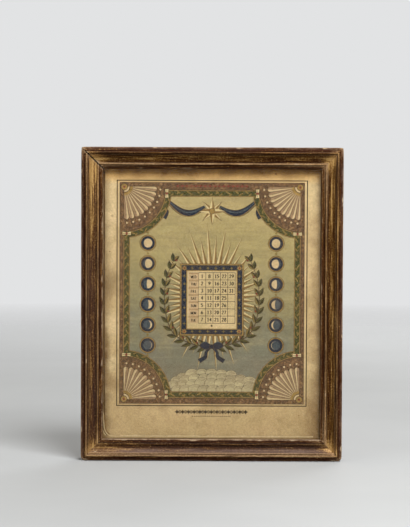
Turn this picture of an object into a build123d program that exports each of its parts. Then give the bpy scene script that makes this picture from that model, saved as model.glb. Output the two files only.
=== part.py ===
"""Framed perpetual calendar: a printed date table behind glass in a mitred gilt moulding.

A strip of weekdays slides up and down behind a window in the print, beside the dates, and is
moved by a brass button that runs in a slot in the backboard. A ring on the back hangs the frame.

Millimetres. +X is right seen from the front, +Y is towards the back, +Z is up. The origin is on
the table under the bottom rail, halfway across the frame and halfway through its depth.
"""

import os

from build123d import *

# Outside of the frame
FRAME_WIDTH = 250.0
FRAME_HEIGHT = 300.0

# Moulding across its face, from the outside edge to the sight edge
BAND_WIDTH = 4.5
BEAD_RADIUS = 1.05
QUIRK_WIDTH = 1.1
COVE_WIDTH = 7.2
INNER_BEAD_RADIUS = 1.05
LIP_WIDTH = 3.8
REBATE_WIDTH = 6.0

# Moulding heights, stacked from the rebate towards the front
SIGHT_HEIGHT = 4.0
LIP_FALL = 0.8
LIP_STEP = 0.7
COVE_RISE = 4.3
COVE_SAG = 1.9
BEAD_STEP = 1.2
BAND_STEP = 1.8
BAND_FALL = 1.6
ARRIS_ROUND = 0.5

# Layers in the rebate, from the glass to the back
GLASS_THICKNESS = 1.8
AIR_GAP = 0.4
SHEET_THICKNESS = 0.3
BOARD_THICKNESS = 1.2
STRIP_THICKNESS = 0.6
TONGUE_THICKNESS = 1.6
FACE_CLEARANCE = 0.2
BACKBOARD_THICKNESS = 4.0
WASHER_GAP = 0.1
WASHER_THICKNESS = 0.6
BUTTON_HEIGHT = 2.8
BUTTON_SET_BACK = 0.2
FITTING_CLEARANCE = 0.6

# Printed table: seven rows of weekdays, and the dates in columns beside them
WEEKDAYS = 7
DATE_COLUMNS = 5
ROW_PITCH = 6.94
COLUMN_WIDTH = 7.04
WINDOW_WIDTH = 9.4
TABLE_RISE = 5.8

# Weekday slide
TONGUE_WIDTH = 15.0
TONGUE_CORNER = 2.0
STRIP_INSET = 1.0
STRIP_MARGIN = 2.5
SIDE_CLEARANCE = 0.3
SLIDE_DROP = 0.7
GUIDE_WIDTH = 8.0
GUIDE_OVERRUN = 3.0
STUD_RADIUS = 1.5
STUD_HEAD_RADIUS = 3.2
STUD_HEAD_THICKNESS = 0.7
STUD_CLEARANCE = 0.3
WASHER_RADIUS = 4.6
BUTTON_RADIUS = 6.0
BUTTON_EDGE_ROUND = 0.8
BUTTON_SOCKET = 1.9
DISH_RADIUS = 4.2
DISH_DEPTH = 0.5

# Fillets of wood that keep the backboard clear of the slide
SPACER_WIDTH = 10.0

# Brads that hold the backboard in the rebate
BRAD_SIZE = 1.6
BRAD_TIP = 0.6
BRAD_BITE = 9.0
BRAD_SHOW = 9.0
BRADS_PER_RAIL = 2
BRADS_PER_STILE = 3

# Cut nails through the mitres
NAIL_SIZE = 1.9
NAIL_TIP = 0.9
NAIL_LENGTH = 26.0
NAIL_HEAD = 3.4
NAIL_HEAD_THICKNESS = 0.8
NAIL_INSET = 8.0
NAIL_FROM_BACK = 5.0
NAIL_SPACING = 8.0

# Screw eye and hanging ring, of wire drawn with flats fine enough to look round
WIRE_SIDES = 12
EYE_WIRE = 1.0
EYE_LOOP = 3.2
EYE_NECK = 0.6
EYE_SHANK = 1.2
EYE_BITE = 13.0
EYE_POINT = 3.0
EYE_INSET = 9.0
RING_WIRE = 0.9
RING_LOOP = 11.0
RING_CLEARANCE = 0.2

# Heights of the moulding above its back face
SLIDE_STACK = STRIP_THICKNESS + TONGUE_THICKNESS + 2 * FACE_CLEARANCE
SLIDE_SPACE = SLIDE_STACK - BOARD_THICKNESS
BACK_RECESS = WASHER_GAP + WASHER_THICKNESS + BUTTON_HEIGHT + BUTTON_SET_BACK
REBATE_DEPTH = (
    GLASS_THICKNESS + AIR_GAP + SHEET_THICKNESS
    + SLIDE_STACK + BACKBOARD_THICKNESS + BACK_RECESS
)
LIP_EDGE = REBATE_DEPTH + SIGHT_HEIGHT
LIP_TOP = LIP_EDGE + LIP_FALL
INNER_BEAD_BASE = LIP_TOP + LIP_STEP
QUIRK_FLOOR = INNER_BEAD_BASE + COVE_RISE
BEAD_BASE = QUIRK_FLOOR + BEAD_STEP
BAND_TOP = BEAD_BASE - BAND_STEP
BAND_EDGE = BAND_TOP - BAND_FALL
FRAME_DEPTH = BEAD_BASE + BEAD_RADIUS

# Places across the moulding
BEAD_START = BAND_WIDTH
BEAD_END = BEAD_START + 2 * BEAD_RADIUS
COVE_START = BEAD_END + QUIRK_WIDTH
COVE_END = COVE_START + COVE_WIDTH
INNER_BEAD_END = COVE_END + 2 * INNER_BEAD_RADIUS
MOULDING_WIDTH = INNER_BEAD_END + LIP_WIDTH
REBATE_WALL = MOULDING_WIDTH - REBATE_WIDTH

# Places through the depth, front to back
BACK_Y = FRAME_DEPTH / 2
GLASS_Y = BACK_Y - REBATE_DEPTH
SHEET_Y = GLASS_Y + GLASS_THICKNESS + AIR_GAP
BOARD_Y = SHEET_Y + SHEET_THICKNESS
SLIDE_Y = BOARD_Y + BOARD_THICKNESS
STRIP_Y = BOARD_Y + FACE_CLEARANCE
TONGUE_Y = STRIP_Y + STRIP_THICKNESS
BACKBOARD_Y = SLIDE_Y + SLIDE_SPACE
BACKBOARD_REAR_Y = BACKBOARD_Y + BACKBOARD_THICKNESS
WASHER_Y = BACKBOARD_REAR_Y + WASHER_GAP
BUTTON_Y = WASHER_Y + WASHER_THICKNESS

# Panes and boards that drop into the rebate
PANE_WIDTH = FRAME_WIDTH - 2 * (REBATE_WALL + FITTING_CLEARANCE)
PANE_HEIGHT = FRAME_HEIGHT - 2 * (REBATE_WALL + FITTING_CLEARANCE)
MID_HEIGHT = FRAME_HEIGHT / 2

# Table, window and slide
TABLE_WIDTH = WINDOW_WIDTH + DATE_COLUMNS * COLUMN_WIDTH
TABLE_HEIGHT = WEEKDAYS * ROW_PITCH
TABLE_Z = MID_HEIGHT + TABLE_RISE
WINDOW_X = (WINDOW_WIDTH - TABLE_WIDTH) / 2
TRAVEL = (WEEKDAYS - 1) * ROW_PITCH
STRIP_WIDTH = TONGUE_WIDTH - 2 * STRIP_INSET
STRIP_LENGTH = TABLE_HEIGHT + TRAVEL + 2 * STRIP_MARGIN
SLIDE_Z = TABLE_Z - SLIDE_DROP
GUIDE_LENGTH = STRIP_LENGTH + TRAVEL + 2 * (SLIDE_DROP + GUIDE_OVERRUN)
CHANNEL_WIDTH = TONGUE_WIDTH + 2 * SIDE_CLEARANCE

# Ring hanging in the eye
EYE_Y = BACK_Y + EYE_NECK + EYE_LOOP + EYE_WIRE
EYE_Z = FRAME_HEIGHT - EYE_INSET
RING_PIVOT_Z = EYE_Z - (EYE_LOOP - EYE_WIRE - RING_WIRE - RING_CLEARANCE)


def slab(width, height, front, thickness, x=0.0, z=MID_HEIGHT):
    """A flat board in the plane of the picture, with its front face at depth front."""
    return Pos(x, front + thickness / 2, z) * Box(width, thickness, height)


def disc(radius, front, length, x, z):
    """A cylinder along the depth, starting at depth front."""
    return Pos(x, front + length / 2, z) * Rot(90, 0, 0) * Cylinder(radius, length)


def tapered_rod(size, tip, length):
    """A square rod that tapers along +X from size to tip, starting at the origin."""
    sections = [
        Plane.YZ * Rectangle(size, size),
        Plane.YZ.offset(length) * Rectangle(tip, tip),
    ]
    return loft(sections)


def wire_loop(loop_radius, wire_radius):
    """A closed loop of wire about Z, centred on the origin."""
    section = Plane.XZ * Pos(loop_radius, 0) * RegularPolygon(wire_radius, WIRE_SIDES)
    return revolve(section, Axis.Z)


def moulding_profile():
    """Section of the moulding: x across the face from the outside edge, y up from its back."""
    band = Line((0, BAND_EDGE), (BAND_WIDTH, BAND_TOP))
    bead = ThreePointArc(
        (BEAD_START, BEAD_BASE),
        (BEAD_START + BEAD_RADIUS, BEAD_BASE + BEAD_RADIUS),
        (BEAD_END, BEAD_BASE),
    )
    cove = SagittaArc((COVE_START, QUIRK_FLOOR), (COVE_END, INNER_BEAD_BASE), -COVE_SAG)
    inner_bead = ThreePointArc(
        (COVE_END, INNER_BEAD_BASE),
        (COVE_END + INNER_BEAD_RADIUS, INNER_BEAD_BASE + INNER_BEAD_RADIUS),
        (INNER_BEAD_END, INNER_BEAD_BASE),
    )
    rest = Polyline(
        inner_bead @ 1,
        (INNER_BEAD_END, LIP_TOP),
        (MOULDING_WIDTH, LIP_EDGE),
        (MOULDING_WIDTH, REBATE_DEPTH),
        (REBATE_WALL, REBATE_DEPTH),
        (REBATE_WALL, 0),
        (0, 0),
        band @ 0,
    )
    outline = [
        band,
        Line(band @ 1, bead @ 0),
        bead,
        Polyline(bead @ 1, (BEAD_END, QUIRK_FLOOR), cove @ 0),
        cove,
        inner_bead,
        rest,
    ]
    profile = make_face(outline)
    arrises = [
        corner for corner in profile.vertices()
        if (abs(corner.X) < ARRIS_ROUND / 2 and abs(corner.Y - BAND_EDGE) < ARRIS_ROUND / 2)
        or (abs(corner.X - MOULDING_WIDTH) < ARRIS_ROUND / 2 and abs(corner.Y - LIP_EDGE) < ARRIS_ROUND / 2)
    ]
    return fillet(arrises, ARRIS_ROUND)


def moulding(length):
    """A mitred length of moulding lying along X, with its outside edge on z = 0."""
    end = Plane(origin=(-length / 2, BACK_Y, 0), x_dir=(0, 0, 1), z_dir=(1, 0, 0))
    bar = extrude(end * moulding_profile(), length)
    mitre = Polyline(
        (-length / 2, 0),
        (length / 2, 0),
        (length / 2 - MOULDING_WIDTH, MOULDING_WIDTH),
        (MOULDING_WIDTH - length / 2, MOULDING_WIDTH),
        close=True,
    )
    wedge = extrude(Plane.XZ * make_face(mitre), FRAME_DEPTH, both=True)
    return bar & wedge


def mitre_nails():
    """Two cut nails at each corner, driven from the sides through the stile into the rail."""
    head = Pos(NAIL_HEAD_THICKNESS / 2, 0, 0) * Box(NAIL_HEAD_THICKNESS, NAIL_HEAD, NAIL_SIZE)
    nail = head + tapered_rod(NAIL_SIZE, NAIL_TIP, NAIL_LENGTH)
    nails = []
    for z in (NAIL_INSET, FRAME_HEIGHT - NAIL_INSET):
        for step in range(2):
            y = BACK_Y - NAIL_FROM_BACK - step * NAIL_SPACING
            nails.append(Pos(-FRAME_WIDTH / 2, y, z) * nail)
            nails.append(Pos(FRAME_WIDTH / 2, y, z) * Rot(0, 0, 180) * nail)
    return nails


def spread(count, span):
    """Places that share a span evenly, half a share in from each end."""
    return [(i + 0.5) * span / count - span / 2 for i in range(count)]


def backboard_brads():
    """Square brads lying on the backboard, driven into the four walls of the rebate."""
    brad = Pos(-BRAD_SHOW, 0, 0) * (
        Pos(BRAD_SHOW / 2, 0, 0) * Box(BRAD_SHOW, BRAD_SIZE, BRAD_SIZE)
        + Pos(BRAD_SHOW, 0, 0) * tapered_rod(BRAD_SIZE, BRAD_TIP, BRAD_BITE)
    )
    y = BACKBOARD_REAR_Y + BRAD_SIZE / 2
    wall_x = FRAME_WIDTH / 2 - REBATE_WALL
    wall_z = FRAME_HEIGHT / 2 - REBATE_WALL
    brads = []
    for z in spread(BRADS_PER_STILE, PANE_HEIGHT):
        brads.append(Pos(wall_x, y, MID_HEIGHT + z) * brad)
        brads.append(Pos(-wall_x, y, MID_HEIGHT + z) * Rot(0, 180, 0) * brad)
    for x in spread(BRADS_PER_RAIL, PANE_WIDTH):
        brads.append(Pos(x, y, MID_HEIGHT + wall_z) * Rot(0, -90, 0) * brad)
        brads.append(Pos(x, y, MID_HEIGHT - wall_z) * Rot(0, 90, 0) * brad)
    return brads


def hanging_eye():
    """Screw eye in the back of the top rail: a pointed shank and a loop standing across X."""
    loop = Pos(0, EYE_Y, EYE_Z) * Rot(0, 90, 0) * wire_loop(EYE_LOOP, EYE_WIRE)
    shank_end = BACK_Y - EYE_BITE + EYE_POINT
    shank = disc(EYE_SHANK, shank_end, EYE_Y - EYE_LOOP - shank_end, 0, EYE_Z)
    point = Pos(0, shank_end - EYE_POINT / 2, EYE_Z) * Rot(90, 0, 0) * Cone(
        EYE_SHANK, EYE_SHANK / 4, EYE_POINT
    )
    return loop + shank + point


def frame_rails():
    """The four mouldings, mitred together and pierced by their nails, brads and screw eye."""
    rail = moulding(FRAME_WIDTH)
    stile = moulding(FRAME_HEIGHT)
    placed = {
        "bottom_rail": rail,
        "top_rail": Pos(0, 0, FRAME_HEIGHT) * Rot(0, 180, 0) * rail,
        "left_stile": Pos(-FRAME_WIDTH / 2, 0, MID_HEIGHT) * Rot(0, 90, 0) * stile,
        "right_stile": Pos(FRAME_WIDTH / 2, 0, MID_HEIGHT) * Rot(0, -90, 0) * stile,
    }
    fixings = [*mitre_nails(), *backboard_brads(), hanging_eye()]
    return {name: bar - fixings for name, bar in placed.items()}


def print_sheet():
    """The printed sheet, with the window through which the weekdays show."""
    sheet = slab(PANE_WIDTH, PANE_HEIGHT, SHEET_Y, SHEET_THICKNESS)
    return sheet - slab(WINDOW_WIDTH, TABLE_HEIGHT, SHEET_Y, SHEET_THICKNESS, WINDOW_X, TABLE_Z)


def mount_board():
    """The card behind the sheet, with a channel that brings the strip up to the window."""
    board = slab(PANE_WIDTH, PANE_HEIGHT, BOARD_Y, BOARD_THICKNESS)
    return board - slab(CHANNEL_WIDTH, GUIDE_LENGTH, BOARD_Y, BOARD_THICKNESS, WINDOW_X, TABLE_Z)


def spacers():
    """Four fillets round the edge that hold the backboard off the print."""
    side_height = PANE_HEIGHT - 2 * SPACER_WIDTH
    side_x = (PANE_WIDTH - SPACER_WIDTH) / 2
    end_z = (PANE_HEIGHT - SPACER_WIDTH) / 2
    return {
        "spacer_top": slab(PANE_WIDTH, SPACER_WIDTH, SLIDE_Y, SLIDE_SPACE, 0, MID_HEIGHT + end_z),
        "spacer_bottom": slab(PANE_WIDTH, SPACER_WIDTH, SLIDE_Y, SLIDE_SPACE, 0, MID_HEIGHT - end_z),
        "spacer_left": slab(SPACER_WIDTH, side_height, SLIDE_Y, SLIDE_SPACE, -side_x),
        "spacer_right": slab(SPACER_WIDTH, side_height, SLIDE_Y, SLIDE_SPACE, side_x),
    }


def slide_guides():
    """Two battens on the back of the card, one each side of the tongue."""
    offset = (CHANNEL_WIDTH + GUIDE_WIDTH) / 2
    return {
        f"slide_guide_{side}": slab(
            GUIDE_WIDTH, GUIDE_LENGTH, SLIDE_Y, SLIDE_SPACE, WINDOW_X + sign * offset, TABLE_Z
        )
        for side, sign in (("left", -1), ("right", 1))
    }


def backboard():
    """The board that closes the back, slotted for the stud of the slide."""
    slot_radius = STUD_RADIUS + STUD_CLEARANCE
    slot = SlotCenterToCenter(TRAVEL, 2 * slot_radius, rotation=90)
    cutter = extrude(Plane.XZ * slot, BACKBOARD_THICKNESS, both=True)
    board = slab(PANE_WIDTH, PANE_HEIGHT, BACKBOARD_Y, BACKBOARD_THICKNESS)
    return board - Pos(WINDOW_X, BACKBOARD_Y + BACKBOARD_THICKNESS / 2, TABLE_Z) * cutter


def slide_stud():
    """Flat-headed stud let into the tongue, reaching back through the slot into the button."""
    head = disc(STUD_HEAD_RADIUS, TONGUE_Y, STUD_HEAD_THICKNESS, WINDOW_X, SLIDE_Z)
    shank = disc(STUD_RADIUS, TONGUE_Y, BUTTON_Y + BUTTON_SOCKET - TONGUE_Y, WINDOW_X, SLIDE_Z)
    return head + shank


def slide_tongue(stud):
    """Wooden slip with rounded corners that carries the weekday strip."""
    face = RectangleRounded(TONGUE_WIDTH, STRIP_LENGTH, TONGUE_CORNER)
    slip = extrude(Plane.XZ * face, -TONGUE_THICKNESS)
    return Pos(WINDOW_X, TONGUE_Y, SLIDE_Z) * slip - stud


def slide_button(stud):
    """Low turned button with a rounded rim and a dished face for the thumb."""
    rim = BUTTON_RADIUS - BUTTON_EDGE_ROUND
    shoulder = BUTTON_HEIGHT - BUTTON_EDGE_ROUND
    corner = ThreePointArc(
        (BUTTON_RADIUS, shoulder),
        (rim + BUTTON_EDGE_ROUND / 2**0.5, shoulder + BUTTON_EDGE_ROUND / 2**0.5),
        (rim, BUTTON_HEIGHT),
    )
    dish = SagittaArc((DISH_RADIUS, BUTTON_HEIGHT), (-DISH_RADIUS, BUTTON_HEIGHT), DISH_DEPTH)
    bottom = dish @ 0.5
    half_dish = ThreePointArc(dish @ 0, dish @ 0.25, bottom)
    half = make_face([
        Polyline(bottom, (0, 0), (BUTTON_RADIUS, 0), corner @ 0),
        corner,
        Line(corner @ 1, half_dish @ 0),
        half_dish,
    ])
    turned = revolve(half, Axis.Y)
    return Pos(WINDOW_X, BUTTON_Y, SLIDE_Z) * turned - stud


def weekday_slide():
    """The moving pieces: strip, tongue, stud, friction washer and button."""
    stud = slide_stud()
    washer = disc(WASHER_RADIUS, WASHER_Y, WASHER_THICKNESS, WINDOW_X, SLIDE_Z)
    return {
        "weekday_strip": slab(STRIP_WIDTH, STRIP_LENGTH, STRIP_Y, STRIP_THICKNESS, WINDOW_X, SLIDE_Z),
        "slide_tongue": slide_tongue(stud),
        "slide_stud": stud,
        "friction_washer": washer - stud,
        "slide_button": slide_button(stud),
    }


def hanging_ring():
    """Wire ring hanging in the eye, flat to the back of the frame."""
    ring = wire_loop(RING_LOOP, RING_WIRE)
    return Pos(0, EYE_Y, RING_PIVOT_Z - RING_LOOP) * Rot(90, 0, 0) * ring


def main():
    nodes = {
        **frame_rails(),
        "mitre_nails": Compound(children=mitre_nails()),
        "glass_pane": slab(PANE_WIDTH, PANE_HEIGHT, GLASS_Y, GLASS_THICKNESS),
        "print_sheet": print_sheet(),
        "mount_board": mount_board(),
        **spacers(),
        **slide_guides(),
        "backboard": backboard(),
        "backboard_brads": Compound(children=backboard_brads()),
        **weekday_slide(),
        "hanging_eye": hanging_eye(),
        "hanging_ring": hanging_ring(),
    }
    os.makedirs("parts", exist_ok=True)
    for name, shape in nodes.items():
        export_step(shape, f"parts/{name}.step")
    print("frame depth", round(FRAME_DEPTH, 2), "moulding width", round(MOULDING_WIDTH, 2))
    print("table centre", round(TABLE_Z, 2), "window centre", round(WINDOW_X, 2))
    print("back face at y", round(BACK_Y, 3), "ring pivot", round(EYE_Y, 3), round(RING_PIVOT_Z, 3))
    print("slide travel up", round(TRAVEL / 2 + SLIDE_DROP, 3), "down", round(TRAVEL / 2 - SLIDE_DROP, 3))


main()
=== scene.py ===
"""Looks of a framed perpetual calendar: worn gilding, an aged print, glass and a plain wooden back.

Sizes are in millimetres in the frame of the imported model, and become metres when a mesh is made:
+X is right seen from the front, +Y is towards the back, +Z is up. Colours are sRGB, 0 to 255.
"""

import math
from functools import partialmethod

import bmesh
import bpy
import numpy as np
from mathutils import Matrix, Vector
from mathutils.geometry import delaunay_2d_cdt


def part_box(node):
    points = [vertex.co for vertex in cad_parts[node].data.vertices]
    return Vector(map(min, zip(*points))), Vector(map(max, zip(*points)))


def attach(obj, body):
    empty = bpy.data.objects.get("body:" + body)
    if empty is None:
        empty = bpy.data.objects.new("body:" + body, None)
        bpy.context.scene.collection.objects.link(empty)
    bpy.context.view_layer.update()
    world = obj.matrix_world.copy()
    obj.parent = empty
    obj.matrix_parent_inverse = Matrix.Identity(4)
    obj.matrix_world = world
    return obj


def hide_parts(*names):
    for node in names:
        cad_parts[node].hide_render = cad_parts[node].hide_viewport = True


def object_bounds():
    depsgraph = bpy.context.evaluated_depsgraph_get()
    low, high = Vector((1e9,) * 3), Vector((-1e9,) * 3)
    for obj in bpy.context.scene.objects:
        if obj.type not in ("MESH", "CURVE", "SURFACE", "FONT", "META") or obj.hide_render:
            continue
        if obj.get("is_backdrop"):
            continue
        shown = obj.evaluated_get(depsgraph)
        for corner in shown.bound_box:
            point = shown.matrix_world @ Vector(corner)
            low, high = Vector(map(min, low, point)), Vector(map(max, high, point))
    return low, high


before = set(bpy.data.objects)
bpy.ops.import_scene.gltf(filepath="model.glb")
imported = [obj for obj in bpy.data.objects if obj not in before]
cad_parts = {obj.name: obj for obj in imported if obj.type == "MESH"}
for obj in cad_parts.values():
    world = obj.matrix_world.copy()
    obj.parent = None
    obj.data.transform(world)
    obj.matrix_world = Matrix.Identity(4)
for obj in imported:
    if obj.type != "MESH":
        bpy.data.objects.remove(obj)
cad_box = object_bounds()

MM = 0.001


def node_box(node):
    """Lowest and highest corner of a CAD node, in mm."""
    low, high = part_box(node)
    return np.array(low) / MM, np.array(high) / MM


# Frame and section of its moulding, as in the solids: across from the outside edge, up from the back
BOTTOM_LOW, BOTTOM_HIGH = node_box("bottom_rail")
FRAME_WIDTH = BOTTOM_HIGH[0] - BOTTOM_LOW[0]
FRAME_HEIGHT = node_box("top_rail")[1][2]
BACK_Y = BOTTOM_HIGH[1]
FRAME_DEPTH = BACK_Y - BOTTOM_LOW[1]
MOULDING_WIDTH = BOTTOM_HIGH[2]
REBATE_WALL = MOULDING_WIDTH - 6.0
REBATE_DEPTH = 12.8
SIGHT_EDGE = REBATE_DEPTH + 4.0
LIP_TOP = SIGHT_EDGE + 0.8
INNER_BEAD_BASE = LIP_TOP + 0.7
QUIRK_FLOOR = INNER_BEAD_BASE + 4.3
BEAD_BASE = QUIRK_FLOOR + 1.2
BAND_TOP = BEAD_BASE - 1.8
BAND_EDGE = BAND_TOP - 1.6
BEAD_START, BEAD_END = 4.5, 6.6
COVE_START, COVE_END = 7.7, 14.9
COVE_SAG = 1.9
INNER_BEAD_END = 17.0
ARRIS_ROUND, OUTER_ROUND = 0.5, 0.9

# Steps of the carved and gessoed surface
ALONG_STEP, ACROSS_STEP, PLAIN_STEP = 1.25, 0.42, 2.4

# Opening of the frame, sheet, window and date table
SIGHT_X = FRAME_WIDTH / 2 - MOULDING_WIDTH
SIGHT_LOW, SIGHT_HIGH = MOULDING_WIDTH, FRAME_HEIGHT - MOULDING_WIDTH
SHEET_LOW, SHEET_HIGH = node_box("print_sheet")
STRIP_LOW, STRIP_HIGH = node_box("weekday_strip")
WEEKDAYS = ("SUN", "MON", "TUE", "WED", "THU", "FRI", "SAT")
LAST_DATE = 31
DATE_COLUMNS = 5
ROW_PITCH, COLUMN_WIDTH, WINDOW_WIDTH = 6.94, 7.04, 9.4
TABLE_CENTRE = 155.8
TABLE_LEFT = -(WINDOW_WIDTH + DATE_COLUMNS * COLUMN_WIDTH) / 2
WINDOW_RIGHT = TABLE_LEFT + WINDOW_WIDTH
TABLE_LOW = TABLE_CENTRE - len(WEEKDAYS) * ROW_PITCH / 2
TABLE_HIGH = TABLE_CENTRE + len(WEEKDAYS) * ROW_PITCH / 2


# Colours, noise and meshes

NOISE_CELLS = 256


def linear(colour):
    """An sRGB colour, 0 to 255, as the linear RGBA that shaders take."""
    share = np.array(colour, float) / 255
    return (*np.where(share <= 0.04045, share / 12.92, ((share + 0.055) / 1.055) ** 2.4), 1.0)


def smooth_step(low, high, value):
    share = np.clip((value - low) / (high - low), 0, 1)
    return share * share * (3 - 2 * share)


def bell(distance, reach):
    return np.exp(-((distance / reach) ** 2))


def value_noise(seed, x, y):
    """Smooth noise from -1 to 1, with one lattice cell for each unit of x and y."""
    table = np.random.default_rng(seed).uniform(-1, 1, (NOISE_CELLS, NOISE_CELLS))
    column, row = np.floor(x).astype(int), np.floor(y).astype(int)
    fx, fy = smooth_step(0, 1, x - column), smooth_step(0, 1, y - row)
    near, far = column % NOISE_CELLS, (column + 1) % NOISE_CELLS
    rows = (row % NOISE_CELLS, (row + 1) % NOISE_CELLS)
    low, high = (table[near, here] * (1 - fx) + table[far, here] * fx for here in rows)
    return low * (1 - fy) + high * fy


def fractal_noise(seed, x, y, octaves=3):
    """Noise from about -1 to 1 with finer and weaker layers added."""
    layers = (value_noise(seed + n, x * 2**n, y * 2**n) / 2**n for n in range(octaves))
    return sum(layers) / (2 - 2 ** (1 - octaves))


def make_piece(name, points, faces, materials, sharp_angle, slots=None):
    """A smooth mesh object from points in mm, with a material slot index for each face."""
    mesh = bpy.data.meshes.new(name)
    mesh.from_pydata((np.asarray(points, float) * MM).tolist(), [], faces)
    for material in materials:
        mesh.materials.append(material)
    if slots is not None:
        mesh.polygons.foreach_set("material_index", np.asarray(slots, np.int32))
    work = bmesh.new()
    work.from_mesh(mesh)
    bmesh.ops.recalc_face_normals(work, faces=work.faces)
    work.to_mesh(mesh)
    work.free()
    mesh.shade_smooth()
    mesh.set_sharp_from_angle(angle=math.radians(sharp_angle))
    mesh.update()
    return add_object(name, mesh)


def add_object(name, data):
    thing = bpy.data.objects.new(name, data)
    bpy.context.scene.collection.objects.link(thing)
    return thing


def dress(piece, body, slot, *nodes):
    """Puts a piece on its body, in the place of the CAD nodes it stands for, which it hides; slot is not
    used.
    """
    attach(piece, body)
    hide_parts(*nodes)


# Node materials

# Places of the factor and the colours among the inputs of a Mix node, and of the colour among its outputs
MIX_INPUTS, MIX_OUTPUT = (0, 6, 7), 2


class Value:
    """What a node gives out. Arithmetic with it, and the calls below, add nodes to its tree."""

    def __init__(self, nodes, socket):
        self.nodes, self.socket = nodes, socket

    def math(self, operation, other=0.0):
        return self.nodes.add("Math", (self, other), operation=operation)

    __add__ = partialmethod(math, "ADD")
    __sub__ = partialmethod(math, "SUBTRACT")
    __mul__ = partialmethod(math, "MULTIPLY")
    __truediv__ = partialmethod(math, "DIVIDE")
    __pow__ = partialmethod(math, "POWER")

    def __rsub__(self, other):
        return self.nodes.add("Math", (other, self), operation="SUBTRACT")

    def held(self):
        """The result of arithmetic, held between 0 and 1."""
        self.socket.node.use_clamp = True
        return self

    def span(self, low, high, start=0.0, end=1.0):
        """The value carried from low..high to start..end, held at the ends."""
        return self.nodes.add("MapRange", (self, low, high, start, end))

    def ramp(self, *stops):
        """The colour for a value, from stops of a position and a colour."""
        colour = self.nodes.add("ValToRGB", (self,))
        elements = colour.socket.node.color_ramp.elements
        while len(elements) < len(stops):
            elements.new(0.5)
        for element, (position, tone) in zip(elements, stops):
            element.position, element.color = position, linear(tone)
        return colour

    def noise(self, scale=1.0, detail=4.0, roughness=0.55, distortion=0.0):
        names = ("Vector", "Scale", "Detail", "Roughness", "Distortion")
        inputs = dict(zip(names, (self, scale, detail, roughness, distortion)))
        return self.nodes.add("TexNoise", inputs, "Fac")

    def cells(self, scale):
        """Distance to the nearest of many scattered spots."""
        return self.nodes.add("TexVoronoi", {"Vector": self, "Scale": scale}, "Distance")

    def axis(self, name):
        return self.nodes.add("SeparateXYZ", (self,), name)


class Nodes:
    """A node tree that grows step by step."""

    def __init__(self, tree):
        self.tree = tree

    def feed(self, socket, value):
        """Links a value to a socket, or sets the socket to a number, a list or an sRGB colour."""
        if isinstance(value, Value):
            self.tree.links.new(value.socket, socket)
        else:
            socket.default_value = linear(value) if isinstance(value, tuple) else value

    def add(self, kind, inputs=(), output=0, **settings):
        """One output of a new node, with its inputs fed in order or by name."""
        node = self.tree.nodes.new("ShaderNode" + kind)
        for key, value in settings.items():
            setattr(node, key, value)
        for key, value in inputs.items() if isinstance(inputs, dict) else enumerate(inputs):
            self.feed(node.inputs[key], value)
        return Value(self, node.outputs[output])

    def mix(self, factor, first, second, blend="MIX"):
        inputs = dict(zip(MIX_INPUTS, (factor, first, second)))
        return self.add("Mix", inputs, MIX_OUTPUT, data_type="RGBA", blend_type=blend, clamp_factor=True)

    def show(self, output, factor, first, second):
        """Sends a mix of two shaders to the output node."""
        self.feed(self.tree.nodes[output].inputs["Surface"], self.add("MixShader", (factor, first, second)))


class Shader(Nodes):
    """A node material around one Principled shader."""

    def __init__(self, name):
        self.material = bpy.data.materials.new(name)
        self.material.use_nodes = True
        super().__init__(self.material.node_tree)
        self.surface = self.tree.nodes["Principled BSDF"]

    def place(self, scale=(1.0, 1.0, 1.0)):
        """Object coordinates in mm, stretched by scale."""
        spot = self.add("TexCoord", output="Object")
        return self.add("Mapping", {"Vector": spot, "Scale": [value / MM for value in scale]})

    def combine(self, *parts):
        return self.add("CombineXYZ", parts)

    def attribute(self, name):
        return self.add("Attribute", output="Fac", attribute_name=name)

    def finish(self, **values):
        """Feeds inputs of the Principled shader, with _ for a space in the name, and gives the material."""
        for key, value in values.items():
            self.feed(self.surface.inputs[key.replace("_", " ")], value)
        return self.material

    def bump(self, height, distance, strength):
        """Tilts the surface by a height from 0 to 1, which is distance mm tall."""
        inputs = {"Height": height, "Distance": distance * MM, "Strength": strength}
        self.finish(Normal=self.add("Bump", inputs))


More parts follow.
